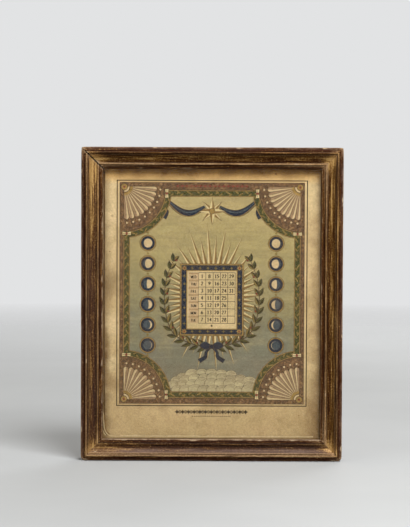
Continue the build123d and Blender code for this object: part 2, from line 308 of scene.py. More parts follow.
def gilt_material():
    """Old leaf over red bole and gesso: streaked along the rail, rubbed on ridges, dark in hollows from grime
    and painted shade, dusty with a painted sheen on faces that turn up, and with painted glints.
    """
    shader = Shader("worn_gilding")
    names = ("along", "across", "rail", "gilt", "bole", "dust", "rub", "grime_and_shade", "chip")
    along, across, rail, gilt, bole, dust, rub, grime_and_shade, chip = map(shader.attribute, names)
    streaks = shader.combine(along * 0.022, across * 0.5, rail)
    specks = shader.combine(along * 0.42, across, rail)
    strokes = shader.combine(along * 0.9, across * 0.12, rail)
    grain = shader.combine(along, across, rail)
    speck = specks.noise(1.5, 5.0, 0.66)
    fine = grain.noise(4.0, 3.0, 0.6)
    gilt += streaks.noise(1.7, 5.0, 0.62).span(0.30, 0.70, -0.44, 0.44)
    gilt += speck.span(0.28, 0.72, -0.32, 0.32)
    gilt = (gilt + fine.span(0.3, 0.7, -0.08, 0.08)).held()
    colour = gilt.ramp(
        (0.00, (26, 10, 3)),
        (0.26, (50, 24, 7)),
        (0.50, (78, 49, 17)),
        (0.74, (128, 91, 41)),
        (1.00, (208, 167, 102)),
    )
    bole *= streaks.noise(2.9, 5.0, 0.65).span(0.40, 0.64)
    colour = shader.mix(bole, colour, (66, 28, 12))
    # Dust, and a painted pale mauve sheen on faces that turn up
    dust *= speck.span(0.3, 0.7, 0.45, 0.95)
    dust = (dust * strokes.noise(1.4, 3.0, 0.6).span(0.3, 0.7, 0.7, 1.2)).held()
    colour = shader.mix(dust, colour, (126, 103, 92))
    # Painted glints: small bright spots on the leaf, as light catching its bumps
    painted_glints = grain.noise(0.9, 2.0, 0.5).span(0.58, 0.72) * gilt.span(0.25, 0.7, 0.1, 0.75)
    colour = shader.mix(painted_glints, colour, (208, 166, 112))
    rub_noise = specks.noise(2.2, 4.0, 0.7)
    rub = (rub * rub_noise.span(0.28, 0.62)).held()
    colour = shader.mix(rub, colour, rub_noise.ramp((0.36, (140, 102, 66)), (0.66, (206, 172, 130))))
    # Grime, and painted shade that deepens the hollows
    grime_and_shade = (grime_and_shade * speck.span(0.2, 0.7, 1.15, 0.55)).held()
    colour = shader.mix(grime_and_shade, colour, (18, 8, 3))
    gesso = fine.ramp((0.35, (132, 102, 74)), (0.62, (206, 184, 152)))
    colour = shader.mix(chip, colour, gesso)
    bare = chip.math("MAXIMUM", dust).math("MAXIMUM", rub.math("MAXIMUM", grime_and_shade))
    shader.bump(speck * 0.6 + fine * 0.4, 0.22, 0.8)
    return shader.finish(
        Base_Color=colour,
        Metallic=gilt.span(0.35, 0.9, 0.0, 0.5) * bare.span(0.0, 0.8, 1.0, 0.0),
        Roughness=gilt.span(0.2, 0.9, 0.62, 0.38) + fine.span(0.3, 0.7, -0.08, 0.10),
        Specular_IOR_Level=0.03,
    )


def wood_material(name, tones, grain_axis, pith, tilt, pitch):
    """Planed, unvarnished softwood, flat-sawn: growth rings cut at a slant, fibres, pores and old stains.

    pith is where the heart of the tree lies, beside the board's middle and behind its face, tilt is how
    fast the saw climbed towards it along the grain, and pitch is the width of a growth ring.
    """
    shader = Shader(name)
    light, middle, dark = tones
    beside_pith, behind_pith = pith

    def drawn_out(along, across):
        return shader.place([along if axis == grain_axis else across for axis in "XYZ"])

    place = shader.place()
    along, across = place.axis(grain_axis), place.axis("X" if grain_axis == "Z" else "Z")
    fibres = drawn_out(0.03, 1.0)
    fibre = fibres.noise(1.3, 6.0, 0.65, 0.3)
    sway = drawn_out(0.008, 0.03).noise(1.0, 2.0, 0.4).span(0.25, 0.75, -8.0, 8.0)
    beside = across - beside_pith + sway
    behind = along * tilt + behind_pith + sway + fibre.span(0.0, 1.0, -0.5, 0.5)
    ring = ((beside * beside + behind * behind).math("SQRT") / pitch).math("FRACT")
    late = ring**2.2 * ring.span(0.9, 1.0, 1.0, 0.0)
    tone = fibre.span(0.25, 0.75, 0.55, 0.0) + late * 0.62
    colour = tone.ramp((0.05, light), (0.45, middle), (0.95, dark))
    stain = shader.place((0.014, 0.014, 0.02)).noise(1.0, 5.0, 0.6, 0.6)
    colour = shader.mix(stain.span(0.44, 0.72, 0.0, 0.6), colour, (60, 39, 23))
    wear = shader.place((0.05, 0.05, 0.05)).noise(1.0, 4.0, 0.65)
    colour = shader.mix(wear.span(0.56, 0.78, 0.0, 0.35), colour, light)
    pore = fibres.noise(3.6, 3.0, 0.7).span(0.60, 0.74)
    colour = shader.mix(pore * 0.5, colour, (42, 26, 15))
    shader.bump(late * 0.35 + fibre - pore * 0.7, 0.22, 0.7)
    return shader.finish(
        Base_Color=colour, Roughness=fibre.span(0.2, 0.8, 0.88, 0.70), Specular_IOR_Level=0.2
    )


def metal_material(name, patch, edges, grit, clean, fouled, metallic, roughness, relief):
    """Metal clean in some patches and fouled in others, with a fine grit over both."""
    shader = Shader(name)
    place = shader.place()
    share = place.noise(*patch).span(*edges)
    grit = place.noise(*grit)
    shader.bump(grit, *relief)
    return shader.finish(
        Base_Color=shader.mix(share, *(grit.ramp((0.3, low), (0.7, high)) for low, high in (clean, fouled))),
        Metallic=share.span(0.0, 1.0, *metallic),
        Roughness=share.span(0.0, 1.0, *roughness),
    )


def iron_material():
    """Cut iron, black from the forge, with brown rust in patches."""
    return metal_material(
        "rusted_iron",
        patch=(0.9, 5.0, 0.65),
        edges=(0.42, 0.60),
        grit=(5.0, 4.0, 0.7),
        clean=((26, 22, 20), (66, 58, 52)),
        fouled=((62, 32, 16), (122, 68, 34)),
        metallic=(0.85, 0.05),
        roughness=(0.45, 0.88),
        relief=(0.16, 0.9),
    )


def brass_material():
    """Old brass, bright where fingers rub and brown elsewhere, with the fine lines of turning."""
    return metal_material(
        "tarnished_brass",
        patch=(0.34, 5.0, 0.62),
        edges=(0.36, 0.66),
        grit=(6.0, 3.0, 0.6),
        clean=((168, 126, 62), (206, 166, 92)),
        fouled=((74, 50, 26), (116, 84, 44)),
        metallic=(1.0, 0.72),
        roughness=(0.26, 0.52),
        relief=(0.03, 0.6),
    )


def leather_material():
    """Brown leather with a pebbled grain and a worn rim."""
    shader = Shader("washer_hide")
    place = shader.place()
    pebble = place.cells(2.6)
    shader.bump(pebble, 0.12, 0.8)
    return shader.finish(
        Base_Color=place.noise(0.8).ramp((0.3, (58, 32, 18)), (0.7, (104, 62, 36))),
        Roughness=pebble.span(0.0, 0.6, 0.55, 0.80),
    )


def card_material():
    """Grey pulp board with flecks of fibre."""
    shader = Shader("pulp_board")
    place = shader.place()
    fleck = place.noise(1.8, 6.0, 0.75)
    colour = fleck.ramp((0.3, (96, 82, 62)), (0.7, (146, 128, 100)))
    shader.bump(fleck, 0.12, 0.6)
    cloud = place.noise(0.05).span(0.4, 0.7, 0.0, 0.4)
    return shader.finish(Base_Color=shader.mix(cloud, colour, (92, 70, 46)), Roughness=0.92)


def glass_material():
    """Clear old glass: what lies behind it shows, with a faint reflection and a little dust."""
    shader = Shader("old_glass")
    smear = shader.place().noise(0.03, 4.0, 0.6, 1.0)
    clear = smear.ramp((0.35, (252, 253, 251)), (0.7, (255, 255, 254)))
    glance = shader.add("LayerWeight", output="Facing") ** 5.0
    shader.show(
        "Material Output",
        glance.span(0.0, 1.0, 0.012, 0.9),
        shader.add("BsdfTransparent", {"Color": clear}),
        shader.add("BsdfGlossy", {"Roughness": smear.span(0.3, 0.7, 0.02, 0.09)}),
    )
    shader.tree.nodes.remove(shader.surface)
    return shader.material


# Paper and printing inks

# Browning that crept in from the edges, deepened along the top by painted shade under the top rail: how far
# it reaches and how deep it is on each side
BROWNED_AND_SHADED = {"left": (10.0, 0.60), "right": (15.0, 0.58), "top": (11.5, 0.78), "bottom": (4.0, 0.22)}
# Heights between which the paper darkens towards its foot, and reach of the painted warm shade under the top
# rail
FOOT_START, FOOT_END, PAINTED_SHADE_REACH = 170.0, 18.0, 15.0
# Distance between engraved lines in a wash, in the sky and in the ground
HATCH_PITCH, SKY_PITCH, GROUND_PITCH = 0.5, 1.25, 0.66


def age(shader, colour, browning_and_shade):
    """Aged paper under an ink: browned towards the frame, with painted warm shade under the top rail,
    clouded, spotted and fibrous.
    """
    place = shader.place()
    x, z = place.axis("X"), place.axis("Z")
    waver = place.noise(0.06, 4.0, 0.6).span(0.3, 0.7, -3.5, 3.5)
    from_edge = {"left": x + SIGHT_X, "right": SIGHT_X - x, "top": SIGHT_HIGH - z, "bottom": z - SIGHT_LOW}
    # brown takes the browning from every side and, along the top, painted shade under the top rail
    brown = 0.0
    for side, (reach, depth) in BROWNED_AND_SHADED.items():
        near = (from_edge[side] + waver * (reach / 11)).span(0.0, reach, 1.0, 0.0)
        brown = (near**1.5 * (depth * browning_and_shade)).math("MAXIMUM", brown)
    foot = z.span(FOOT_START, FOOT_END) ** 1.3 * (0.27 * browning_and_shade)
    colour = shader.mix(foot, colour, (150, 118, 72))
    colour = shader.mix(brown, colour, (102, 64, 16))
    # Painted warm shade along the top: the tone of the light that the gilt top rail throws back into its
    # shadow
    painted_warm_shade = from_edge["top"].span(0.0, PAINTED_SHADE_REACH, browning_and_shade, 0.0)
    colour = shader.mix(painted_warm_shade, colour, (255, 218, 138), "MULTIPLY")
    cloud = place.noise(0.018, 5.0, 0.58, 0.6).span(0.46, 0.74, 0.0, 0.40 * browning_and_shade)
    colour = shader.mix(cloud, colour, (160, 124, 78))
    fibre = place.noise(0.55, 6.0, 0.74)
    pulp = fibre.ramp((0.37, (118, 104, 84)), (0.63, (255, 255, 255)))
    colour = shader.mix(0.30, colour, pulp, "MULTIPLY")
    spot = place.cells(0.055).span(0.05, 0.085, 0.42 * browning_and_shade, 0.0)
    colour = shader.mix(spot, colour, (124, 84, 44))
    shader.bump(fibre, 0.05, 0.5)
    return shader.finish(
        Base_Color=colour, Roughness=fibre.span(0.3, 0.7, 0.80, 0.92), Specular_IOR_Level=0.25
    )


def engrave(shader, colour, strength, pitch, lean=0.0):
    """Darkens a colour with wavering parallel lines, pitch mm apart, that lean from the level."""
    place = shader.place()
    level = place.axis("Z") * math.cos(lean) + place.axis("X") * math.sin(lean)
    line = ((level + place.noise(0.22, 3.0) * 0.7) * (math.tau / pitch)).math("SINE")
    swell = place.noise(0.16).span(0.3, 0.7, -0.8, 0.6)
    return shader.mix((line + swell).span(0.1, 0.9) * strength, colour, (58, 40, 30))


def blot(shader, colour, blots):
    """Soft ragged marks over a colour."""
    place = shader.place()
    x, z = place.axis("X"), place.axis("Z")
    ragged = place.noise(0.08, 5.0, 0.62).span(0.3, 0.7, -0.4, 0.4)
    for (at_x, at_z), (half_width, half_height), strength, tone in blots:
        across = x.span(at_x - half_width, at_x + half_width, -1.0, 1.0)
        upward = z.span(at_z - half_height, at_z + half_height, -1.0, 1.0)
        near = (across**2.0 + upward**2.0 + ragged).span(0.0, 1.0, strength, 0.0)
        colour = shader.mix(near, colour, tone)
    return colour


def wash(name, low, high, pool=0.10, hatch=0.0, lean=0.0, browning_and_shade=0.35, blots=()):
    """A hand-laid wash between two colours, with engraved lines through it where hatch is over 0."""
    shader = Shader(name)
    colour = shader.mix(shader.place().noise(pool, 5.0, 0.62, 0.5).span(0.32, 0.68), low, high)
    if hatch:
        colour = engrave(shader, colour, hatch, HATCH_PITCH, lean)
    if blots:
        colour = blot(shader, colour, blots)
    return age(shader, colour, browning_and_shade)


def sky_material():
    """The print's open field: olive cream above, grey blue at the foot, with level engraved lines."""
    shader = Shader("ink_sky")
    place = shader.place()
    drift = place.noise(0.035, 5.0, 0.6, 0.5).span(0.3, 0.7, -24.0, 24.0)
    colour = (place.axis("Z") + drift).span(62.0, 262.0).ramp(
        (0.00, (134, 124, 102)),
        (0.22, (134, 130, 110)),
        (0.42, (158, 146, 106)),
        (0.70, (186, 166, 112)),
        (1.00, (198, 174, 120)),
    )
    veil = shader.place((0.020, 1.0, 0.11)).noise(1.0, 7.0, 0.66, 0.8)
    colour = shader.mix(veil.span(0.46, 0.72, 0.0, 0.42), colour, (122, 112, 90))
    colour = shader.mix(veil.span(0.46, 0.30, 0.0, 0.28), colour, (206, 188, 142))
    return age(shader, engrave(shader, colour, 0.26, SKY_PITCH), 0.25)


def ground_material():
    """Dark mauve-brown ground of the print, stippled and crossed with engraved lines."""
    shader = Shader("ink_ground")
    mottle = shader.place().noise(0.42, 6.0, 0.72, 0.8)
    colour = mottle.ramp((0.32, (58, 38, 24)), (0.50, (112, 80, 51)), (0.68, (178, 137, 92)))
    for strength, lean in ((0.34, 38), (0.26, -42)):
        colour = engrave(shader, colour, strength, GROUND_PITCH, math.radians(lean))
    return age(shader, colour, 0.45)


# Soft marks in the side margins: place, half width and half height, strength and colour
# The pale marks are cleaner paper, and the two large ones on the upper margins are also painted light,
# brighter towards the top of the sheet
BLOT_BROWN, BLOT_PALE = (112, 76, 30), (252, 224, 176)
BLOTS = (
    ((-98.0, 234.0), (11.0, 46.0), 0.70, BLOT_PALE),
    ((-97.0, 133.0), (9.0, 15.0), 0.60, BLOT_PALE),
    ((-97.0, 92.0), (8.0, 9.0), 0.80, BLOT_PALE),
    ((99.0, 262.0), (12.0, 28.0), 0.60, BLOT_PALE),
    ((-102.0, 167.0), (18.0, 21.0), 0.52, BLOT_BROWN),
    ((-105.0, 98.0), (8.5, 32.0), 0.80, BLOT_BROWN),
    ((-99.0, 75.0), (15.0, 9.0), 0.50, BLOT_BROWN),
    ((-105.0, 45.0), (8.0, 40.0), 0.40, BLOT_BROWN),
    ((105.0, 34.0), (17.0, 56.0), 0.55, BLOT_BROWN),
)
# Scale of the pools of tone in bare paper
PAPER = 0.03
INKS = {
    "paper": wash("aged_paper", (208, 177, 129), (228, 198, 149), PAPER, browning_and_shade=1.0, blots=BLOTS),
    "rule": wash("ink_rule", (46, 32, 14), (66, 48, 26)),
    "ground": ground_material(),
    "sky": sky_material(),
    "green": wash("ink_green", (34, 34, 14), (52, 50, 22), 0.3),
    "leaf": wash("ink_leaf", (66, 68, 28), (92, 88, 38), 0.3, 0.25, 0.6),
    "leaf_gold": wash("ink_leaf_gold", (118, 98, 44), (150, 124, 60), 0.3, 0.2, -0.6),
    "gold": wash("ink_gold", (140, 108, 52), (182, 146, 82), 0.3, 0.15),
    "brown": wash("ink_brown", (62, 44, 28), (88, 64, 40), 0.3),
    "ray_light": wash("ink_ray_light", (214, 190, 136), (230, 208, 158), 0.2, 0.06),
    "ray_dark": wash("ink_ray_dark", (132, 98, 48), (158, 122, 66), 0.2, 0.30, 0.9),
    "blue": wash("ink_blue", (20, 27, 42), (36, 46, 64), 0.2, 0.30, 0.8),
    "blue_light": wash("ink_blue_light", (58, 68, 78), (84, 92, 96), 0.2, 0.30, 0.8),
    "cream": wash("ink_cream", (204, 174, 130), (222, 194, 150), 0.12),
    "cream_shade": wash("ink_cream_shade", (158, 124, 92), (180, 146, 110), 0.2, 0.35, -0.8),
    "tablet": wash("ink_tablet", (212, 185, 137), (228, 201, 153), PAPER, browning_and_shade=0.3),
    "red": wash("ink_red", (118, 48, 34), (146, 66, 46), 0.3),
    "cloud": wash("ink_cloud", (180, 164, 128), (206, 188, 146), 0.12, 0.08),
    "cloud_shade": wash("ink_cloud_shade", (128, 118, 98), (150, 138, 112), 0.12, 0.35, 0.2),
    "figure": wash("ink_figure", (42, 29, 16), (62, 45, 26), 0.3),
    "stain": wash("paper_stain", (146, 112, 68), (166, 130, 84), 0.3, browning_and_shade=1.0),
    "dark_line": wash("paper_dark_line", (74, 50, 16), (100, 70, 28), 0.3),
    "pale_line": wash("paper_pale_line", (224, 196, 150), (240, 214, 170), 0.3),
    "weekday_paper": wash("weekday_paper", (202, 170, 128), (216, 184, 142), PAPER, browning_and_shade=0.2),
}
INK_NAMES = list(INKS)
HOLE = "hole"
# Pitch of the points that let a sheet cockle, and distance under which points of the print are one
SHEET_PITCH, MERGE = 6.0, 0.004


def signed_area(path):
    """Twice the area inside a closed path, below 0 if it runs clockwise."""
    ahead = np.roll(path, -1, axis=0)
    return np.sum(path[:, 0] * ahead[:, 1] - ahead[:, 0] * path[:, 1])


class Press:
    """A sheet of paper with flat shapes printed one over another, in mm from left to right and upwards."""

    def __init__(self, paper, low, high):
        self.paper, self.low, self.high = paper, low, high
        self.points, self.faces, self.inks = [], [], []
        columns, rows = (
            np.linspace(start, end, max(2, round((end - start) / SHEET_PITCH)) + 1)
            for start, end in zip(low[::2], high[::2])
        )
        rim = [(x, rows[0]) for x in columns[:-1]] + [(columns[-1], z) for z in rows[:-1]]
        rim += [(x, rows[-1]) for x in columns[:0:-1]] + [(columns[0], z) for z in rows[:0:-1]]
        self.fill(paper, rim)
        self.grid = [(x, z) for x in columns[1:-1] for z in rows[1:-1]]

    def fill(self, ink, points):
        points = np.asarray(points, float)
        if signed_area(points) < 0:
            points = points[::-1]
        start = len(self.points)
        self.points.extend(points.tolist())
        self.faces.append(list(range(start, start + len(points))))
        self.inks.append(ink)

    def rectangle(self, ink, left, low, right, high):
        self.fill(ink, [(left, low), (right, low), (right, high), (left, high)])

    def discs(self, centre, *layers):
        """Discs one over another, each an ink, a radius and a count of points."""
        for ink, radius, count in layers:
            self.fill(ink, circle(centre, radius, count))

    def stroke(self, ink, path, width, closed=False):
        """A line along a path, of one width or a width for each point."""
        path = np.asarray(path, float)
        ahead, behind = np.roll(path, -1, axis=0), np.roll(path, 1, axis=0)
        if not closed:
            ahead[-1], behind[0] = path[-1], path[0]
        run = ahead - behind
        run /= np.maximum(np.linalg.norm(run, axis=1, keepdims=True), 1e-9)
        side = np.column_stack([-run[:, 1], run[:, 0]]) * np.reshape(width, (-1, 1)) / 2
        left = len(self.points) + 2 * np.arange(len(path))
        self.points.extend(np.stack([path + side, path - side], axis=1).reshape(-1, 2).tolist())
        self.quads(ink, left, left + 1, closed)

    def ring(self, ink, outer, inner):
        """The band between two closed paths with as many points each."""
        left = len(self.points) + np.arange(len(outer))
        self.points.extend(np.vstack([outer, inner]).tolist())
        self.quads(ink, left, left + len(outer), True)

    def quads(self, ink, left, right, closed):
        """Quads between two rows of points, each taken round its middle so that its sides don't cross."""
        corners = np.column_stack([left, right, np.roll(right, -1), np.roll(left, -1)])
        for quad in corners if closed else corners[:-1]:
            spread = np.array([self.points[corner] for corner in quad])
            spread -= spread.mean(axis=0)
            self.faces.append(quad[np.argsort(np.arctan2(spread[:, 1], spread[:, 0]))].tolist())
            self.inks.append(ink)


def heading(angle):
    """Unit vectors at one angle or more."""
    return np.stack([np.cos(angle), np.sin(angle)], axis=-1)


def circle(centre, radius, count=20, start=0.0, turn=math.tau):
    """Points round a circle or, with a smaller turn, along an arc."""
    closed = abs(turn) >= math.tau - 1e-6
    return np.asarray(centre) + radius * heading(start + np.linspace(0, turn, count, endpoint=not closed))


def sector(centre, inner, outer, start, turn, count=12):
    """A slice of a ring, from an angle through a turn."""
    rim = circle(centre, outer, count, start, turn)
    return np.vstack([rim, circle(centre, inner, count, start + turn, -turn)])


def star(centre, outer, inner, points):
    steps = np.arange(2 * points)
    radii = np.where(steps % 2 == 0, outer, inner)
    return np.asarray(centre) + radii[:, None] * heading(math.pi / 2 + steps * math.pi / points)


def lens(length, width, count=6):
    """A leaf outline along +X: pointed at both ends, widest a little below the middle."""
    share = np.linspace(0, 1, count + 2)
    upper = np.column_stack([share * length, width / 2 * np.sin(math.pi * share**0.85)])
    return np.vstack([upper, upper[-2:0:-1] * (1, -1)])


def curve(points, closed=False, steps=5):
    """A smooth path through points, by Catmull-Rom spans."""
    points = np.asarray(points, float)
    count = len(points)
    t = np.arange(steps)[:, None] / steps
    path = []
    for index in range(count if closed else count - 1):
        picks = np.arange(index - 1, index + 3)
        a, b, c, d = points[picks % count if closed else np.clip(picks, 0, count - 1)]
        cubic = 2 * b + (c - a) * t + (2 * a - 5 * b + 4 * c - d) * t**2 + (3 * b - a - 3 * c + d) * t**3
        path.append(0.5 * cubic)
    return np.vstack(path if closed else [*path, points[-1:]])


def turned(points, centre, angle):
    """Points drawn along +X from the origin, turned by an angle and set at a centre."""
    cosine, sine = math.cos(angle), math.sin(angle)
    return np.asarray(points, float) @ np.array([[cosine, sine], [-sine, cosine]]) + np.asarray(centre, float)


def even_path(path, pitch):
    """Points a pitch apart along a closed path, with the direction there."""
    ring = np.vstack([path, path[:1]])
    lengths = np.concatenate([[0], np.cumsum(np.linalg.norm(np.diff(ring, axis=0), axis=1))])
    count = int(lengths[-1] / pitch)
    at = np.arange(count) * lengths[-1] / count
    spots, ahead = (
        np.column_stack([np.interp(place, lengths, ring[:, axis]) for axis in (0, 1)])
        for place in (at, (at + 0.4) % lengths[-1])
    )
    run = ahead - spots
    return spots, np.arctan2(run[:, 1], run[:, 0])


# Figures and capitals for a broad pen, as straight runs, curves and closed loops in hundredths of the height
GLYPHS = {
    "0": "loop 30,100 6,50 30,0 54,50",
    "1": "line 14,80 32,100 32,0; line 14,2 50,2",
    "2": "curve 7,76 28,100 50,78 34,42 5,3; line 5,4 55,4",
    "3": "curve 8,86 28,100 48,80 24,55; curve 24,55 53,29 28,0 6,14",
    "4": "line 42,100 4,30; line 2,30 58,30; line 42,100 42,0",
    "5": "line 52,97 14,97 11,54; curve 11,54 34,62 54,33 28,0 5,13",
    "6": "curve 48,95 20,72 6,30 30,0 54,29 30,55 9,32",
    "7": "line 5,97 55,97; curve 55,97 32,50 22,0",
    "8": "loop 30,100 9,77 30,54 51,77; loop 30,54 5,27 30,0 55,27",
    "9": "curve 12,5 40,28 54,70 30,100 6,71 30,45 51,68",
    "A": "line 2,0 32,100 62,0; line 12,34 52,34",
    "D": "line 10,0 10,100; curve 10,100 42,94 60,50 42,6 10,0",
    "E": "line 10,0 10,100; line 10,98 52,98; line 10,52 44,52; line 10,2 54,2",
    "F": "line 10,0 10,100; line 10,98 52,98; line 10,52 44,52",
    "H": "line 8,0 8,100; line 54,0 54,100; line 8,52 54,52",
    "I": "line 30,0 30,100; line 16,98 44,98; line 16,2 44,2",
    "M": "line 2,0 8,100 33,10 58,100 64,0",
    "N": "line 6,0 6,100 54,0 54,100",
    "O": "loop 31,100 3,50 31,0 59,50",
    "R": "line 10,0 10,100; curve 10,100 42,96 48,70 10,50; line 26,52 58,0",
    "S": "curve 52,86 28,100 10,76 50,30 30,0 5,15",
    "T": "line 2,98 60,98; line 31,100 31,0",
    "U": "curve 8,100 9,30 31,0 53,30 54,100",
    "W": "line 0,100 17,0 33,85 49,0 66,100",
}
GLYPH_WIDTH, GLYPH_ADVANCE = 0.62, 0.72
NIB_ANGLE = math.radians(18)


def glyph_paths(letter):
    """Paths of a letter in a box 1 high, and whether each is closed."""
    for run in GLYPHS[letter].split(";"):
        kind, *spots = run.split()
        points = np.array([spot.split(",") for spot in spots], float) / 100
        if kind == "line":
            yield from ((np.array(pair), False) for pair in zip(points, points[1:]))
        else:
            yield curve(points, kind == "loop"), kind == "loop"


def write(press, text, centre, height, thin, thick):
    """Figures or capitals centred on a point, with thin level strokes and thick upright ones."""
    left = centre[0] - (len(text) * GLYPH_ADVANCE - (GLYPH_ADVANCE - GLYPH_WIDTH)) * height / 2
    low = centre[1] - height / 2
    for place, letter in enumerate(text):
        for path, closed in glyph_paths(letter):
            path = path * height + (left + place * GLYPH_ADVANCE * height, low)
            run = np.gradient(path, axis=0)
            lean = np.arctan2(run[:, 1], run[:, 0]) - NIB_ANGLE
            press.stroke("figure", path, thin + (thick - thin) * np.abs(np.sin(lean)), closed)


# Layout of the print
RULE_X, RULE_LOW, RULE_HIGH, RULE_WIDTH = 91.05, 51.95, 268.3, 0.95
PICTURE_X, PICTURE_LOW, PICTURE_HIGH = 88.4, 54.0, 266.25
PANEL_X, PANEL_LOW, PANEL_HIGH = 85.0, 59.5, 259.0
PANEL_MIDDLE = (PANEL_LOW + PANEL_HIGH) / 2
SCOOP, BAND = 40.0, 6.2
TABLET_X, TABLET_LOW, TABLET_HIGH, BORDER = 23.6, 126.4, 181.6, 5.6
MOON_X, MOON_PITCH, MOONS_PER_SIDE = 61.5, 19.6, 6
FAN_INSET = 4.2
BOW_Z, COMPASS_Z = 109.0, 239.0
UPPER_ROW, LOWER_ROW, ROW_HALF = 263.0, 46.0, 33.0
LINE = 0.5
# Height, thin stroke and thick stroke of the dates and of the weekdays
DATE_PEN, WEEKDAY_PEN = (3.3, 0.38, 0.86), (2.5, 0.30, 0.62)
# Lines of the strip: how far each of a pair lies from the middle, and how far it stops from the edge
STRIP_SPLIT, STRIP_MARGIN = 0.45, 1.2
SIDES = (-1, 1)


def scooped_panel(inset):
    """The path that lies inset inside the edge of a panel with hollowed corners."""
    radius = SCOOP + inset
    start = math.asin(inset / radius)
    corners = ((PANEL_X, PANEL_HIGH), (-PANEL_X, PANEL_HIGH), (-PANEL_X, PANEL_LOW), (PANEL_X, PANEL_LOW))
    arcs = [
        circle(corner, radius, 25, math.radians(270 + 90 * turn) - start, -(math.pi / 2 - 2 * start))
        for turn, corner in enumerate(corners)
    ]
    share = np.linspace(0, 1, 16, endpoint=False)[1:, None]
    path = []
    for arc, following in zip(arcs, arcs[1:] + arcs[:1]):
        path += [arc, arc[-1] * (1 - share) + following[0] * share]
    return np.vstack(path)


def draw_plate(press):
    """Double rule and dark ground of the plate."""
    half = RULE_WIDTH / 2
    for z in (RULE_LOW, RULE_HIGH):
        press.rectangle("rule", -RULE_X - half, z - half, RULE_X + half, z + half)
    for x in (-RULE_X, RULE_X):
        press.rectangle("rule", x - half, RULE_LOW + half, x + half, RULE_HIGH - half)
    for ink, grow in (("rule", 0.3), ("ground", 0.0)):
        press.rectangle(ink, -PICTURE_X - grow, PICTURE_LOW - grow, PICTURE_X + grow, PICTURE_HIGH + grow)


def draw_fan(press, corner, middle):
    """A quarter fan of flutes in a corner of the plate, with a ring of pearls."""
    flutes, spread = 9, math.radians(92)
    root, reach = 8.2, 29.0
    pitch = spread / flutes
    half = pitch * 0.44
    first = middle - spread / 2
    press.fill("brown", sector(corner, 2.0, reach + 1.0, first, spread, 24))
    for flute in range(flutes):
        angle = first + (flute + 0.5) * pitch
        along = heading(angle)
        tip = corner + along * reach * math.cos(half)
        foot = circle(corner, root, 3, angle + half, -2 * half)
        rim, cap = (
            circle(tip, reach * math.sin(half) + grow, 9, angle - math.pi / 2, math.pi) for grow in (0.5, 0.0)
        )
        press.fill("brown", np.vstack([rim, foot]))
        press.fill("cream", np.vstack([cap, foot]))
        press.fill("cream_shade", np.vstack([cap[:5], foot[1:]]))
        press.stroke("brown", [corner + along * root, corner + along * reach * 0.95], [0.2, 0.4])
        press.discs(corner + along * (reach + 5.6), ("brown", 1.35, 10), ("cream", 1.0, 9))
    rings = (("gold", 5.6, root, 14), ("brown", 5.0, 5.6, 14), ("cream", 3.4, 5.0, 12))
    for ink, inner, outer, count in rings:
        press.fill(ink, sector(corner, inner, outer, first, spread, count))
    press.discs(corner, ("brown", 3.4, 16), ("gold", 2.9, 14), ("red", 1.1, 9))


def draw_clouds(press):
    """A bank of engraved clouds at the foot of the field: rows of curling lumps, the nearest lowest."""
    rows = ((84.0, 28.0, 5.2, 7), (78.5, 35.0, 5.4, 9), (73.0, 36.5, 5.6, 9), (67.0, 34.0, 5.4, 9))
    lump = circle((0, 0), 1.0, 24)
    shade = sector((0, 0), 0.55, 1.0, math.radians(200), math.radians(160), 12)
    for order, (height, half, radius, count) in enumerate(rows):
        rng = np.random.default_rng(70 + order)
        for x in np.linspace(-half, half, count) + (order % 2) * 1.5:
            wide = radius * rng.uniform(0.95, 1.3)
            tall = wide * rng.uniform(0.72, 0.9)
            drop = 0.3 * (height - rows[-1][0]) * (x / half) ** 2
            centre = np.array((x, height - drop + rng.uniform(-0.5, 0.5)))
            press.fill("brown", lump * (wide + 0.3, tall + 0.3) + centre)
            press.fill("cloud", lump * (wide, tall) + centre)
            press.fill("cloud_shade", shade * (wide, tall) + centre)
            for shrink in (0.80, 0.58):
                curl = circle((0, 0), shrink, 10, math.radians(150), math.radians(-125))
                press.stroke("brown", curl * (wide, tall) + centre, np.linspace(0.12, 0.34, 10))


def draw_rays(press):
    """Sunburst behind the tablet: long and short rays, each with a light and a dark half."""
    rays = 48
    reach_x, reach_z = 50.0, 72.0
    root, half_width, rim = 27.0, 2.5, 0.3
    centre = np.array((0.0, TABLE_CENTRE))
    for ray in (*range(1, rays, 2), *range(0, rays, 2)):
        along = heading(math.tau * (ray + 0.5) / rays)
        aside = np.array((-along[1], along[0]))
        length = reach_x * reach_z / math.hypot(reach_z * along[0], reach_x * along[1])
        length *= 0.84 if ray % 2 else 1.0
        foot, tip = centre + root * along, centre + length * along
        rimmed = aside * (half_width + rim)
        press.fill("brown", [foot - rimmed, tip + along * 0.8, foot + rimmed])
        press.fill("ray_light", [foot, tip, foot + aside * half_width])
        press.fill("ray_dark", [foot - aside * half_width, tip, foot])


def draw_branch(press, side):
    """A laurel branch that curves up one side of the tablet."""
    stem = curve([(-2, 109), (17, 111), (37, 122), (45, 146), (44, 172), (36, 194)], steps=9) * (side, 1)
    press.stroke("brown", stem, np.linspace(1.3, 0.5, len(stem)))
    spots = stem[4::3]
    for order, (spot, run) in enumerate(zip(spots, np.diff(stem, axis=0)[4::3])):
        forward = math.atan2(run[1], run[0])
        share = order / len(spots)
        length = 10.5 - 3.0 * share
        leaf = lens(length, 3.3)
        shade = np.vstack([[(0.0, 0.0)], leaf[1:7], [(length, 0.0)]])
        for lean in SIDES:
            angle = forward + lean * (0.62 - 0.2 * share)
            press.fill("brown", turned(lens(length + 0.7, 4.0), spot, angle))
            press.fill("leaf_gold" if lean * side > 0 else "leaf", turned(leaf, spot, angle))
            press.fill("green", turned(shade * (1, -0.85), spot, angle))
            press.stroke("brown", turned([(0.5, 0), (length * 0.85, 0)], spot, angle), [0.35, 0.15])
        if order % 2:
            berry = turned([(2.4, 2.6 * side)], spot, forward)[0]
            press.discs(berry, ("brown", 1.15, 9), ("red", 0.85, 8))


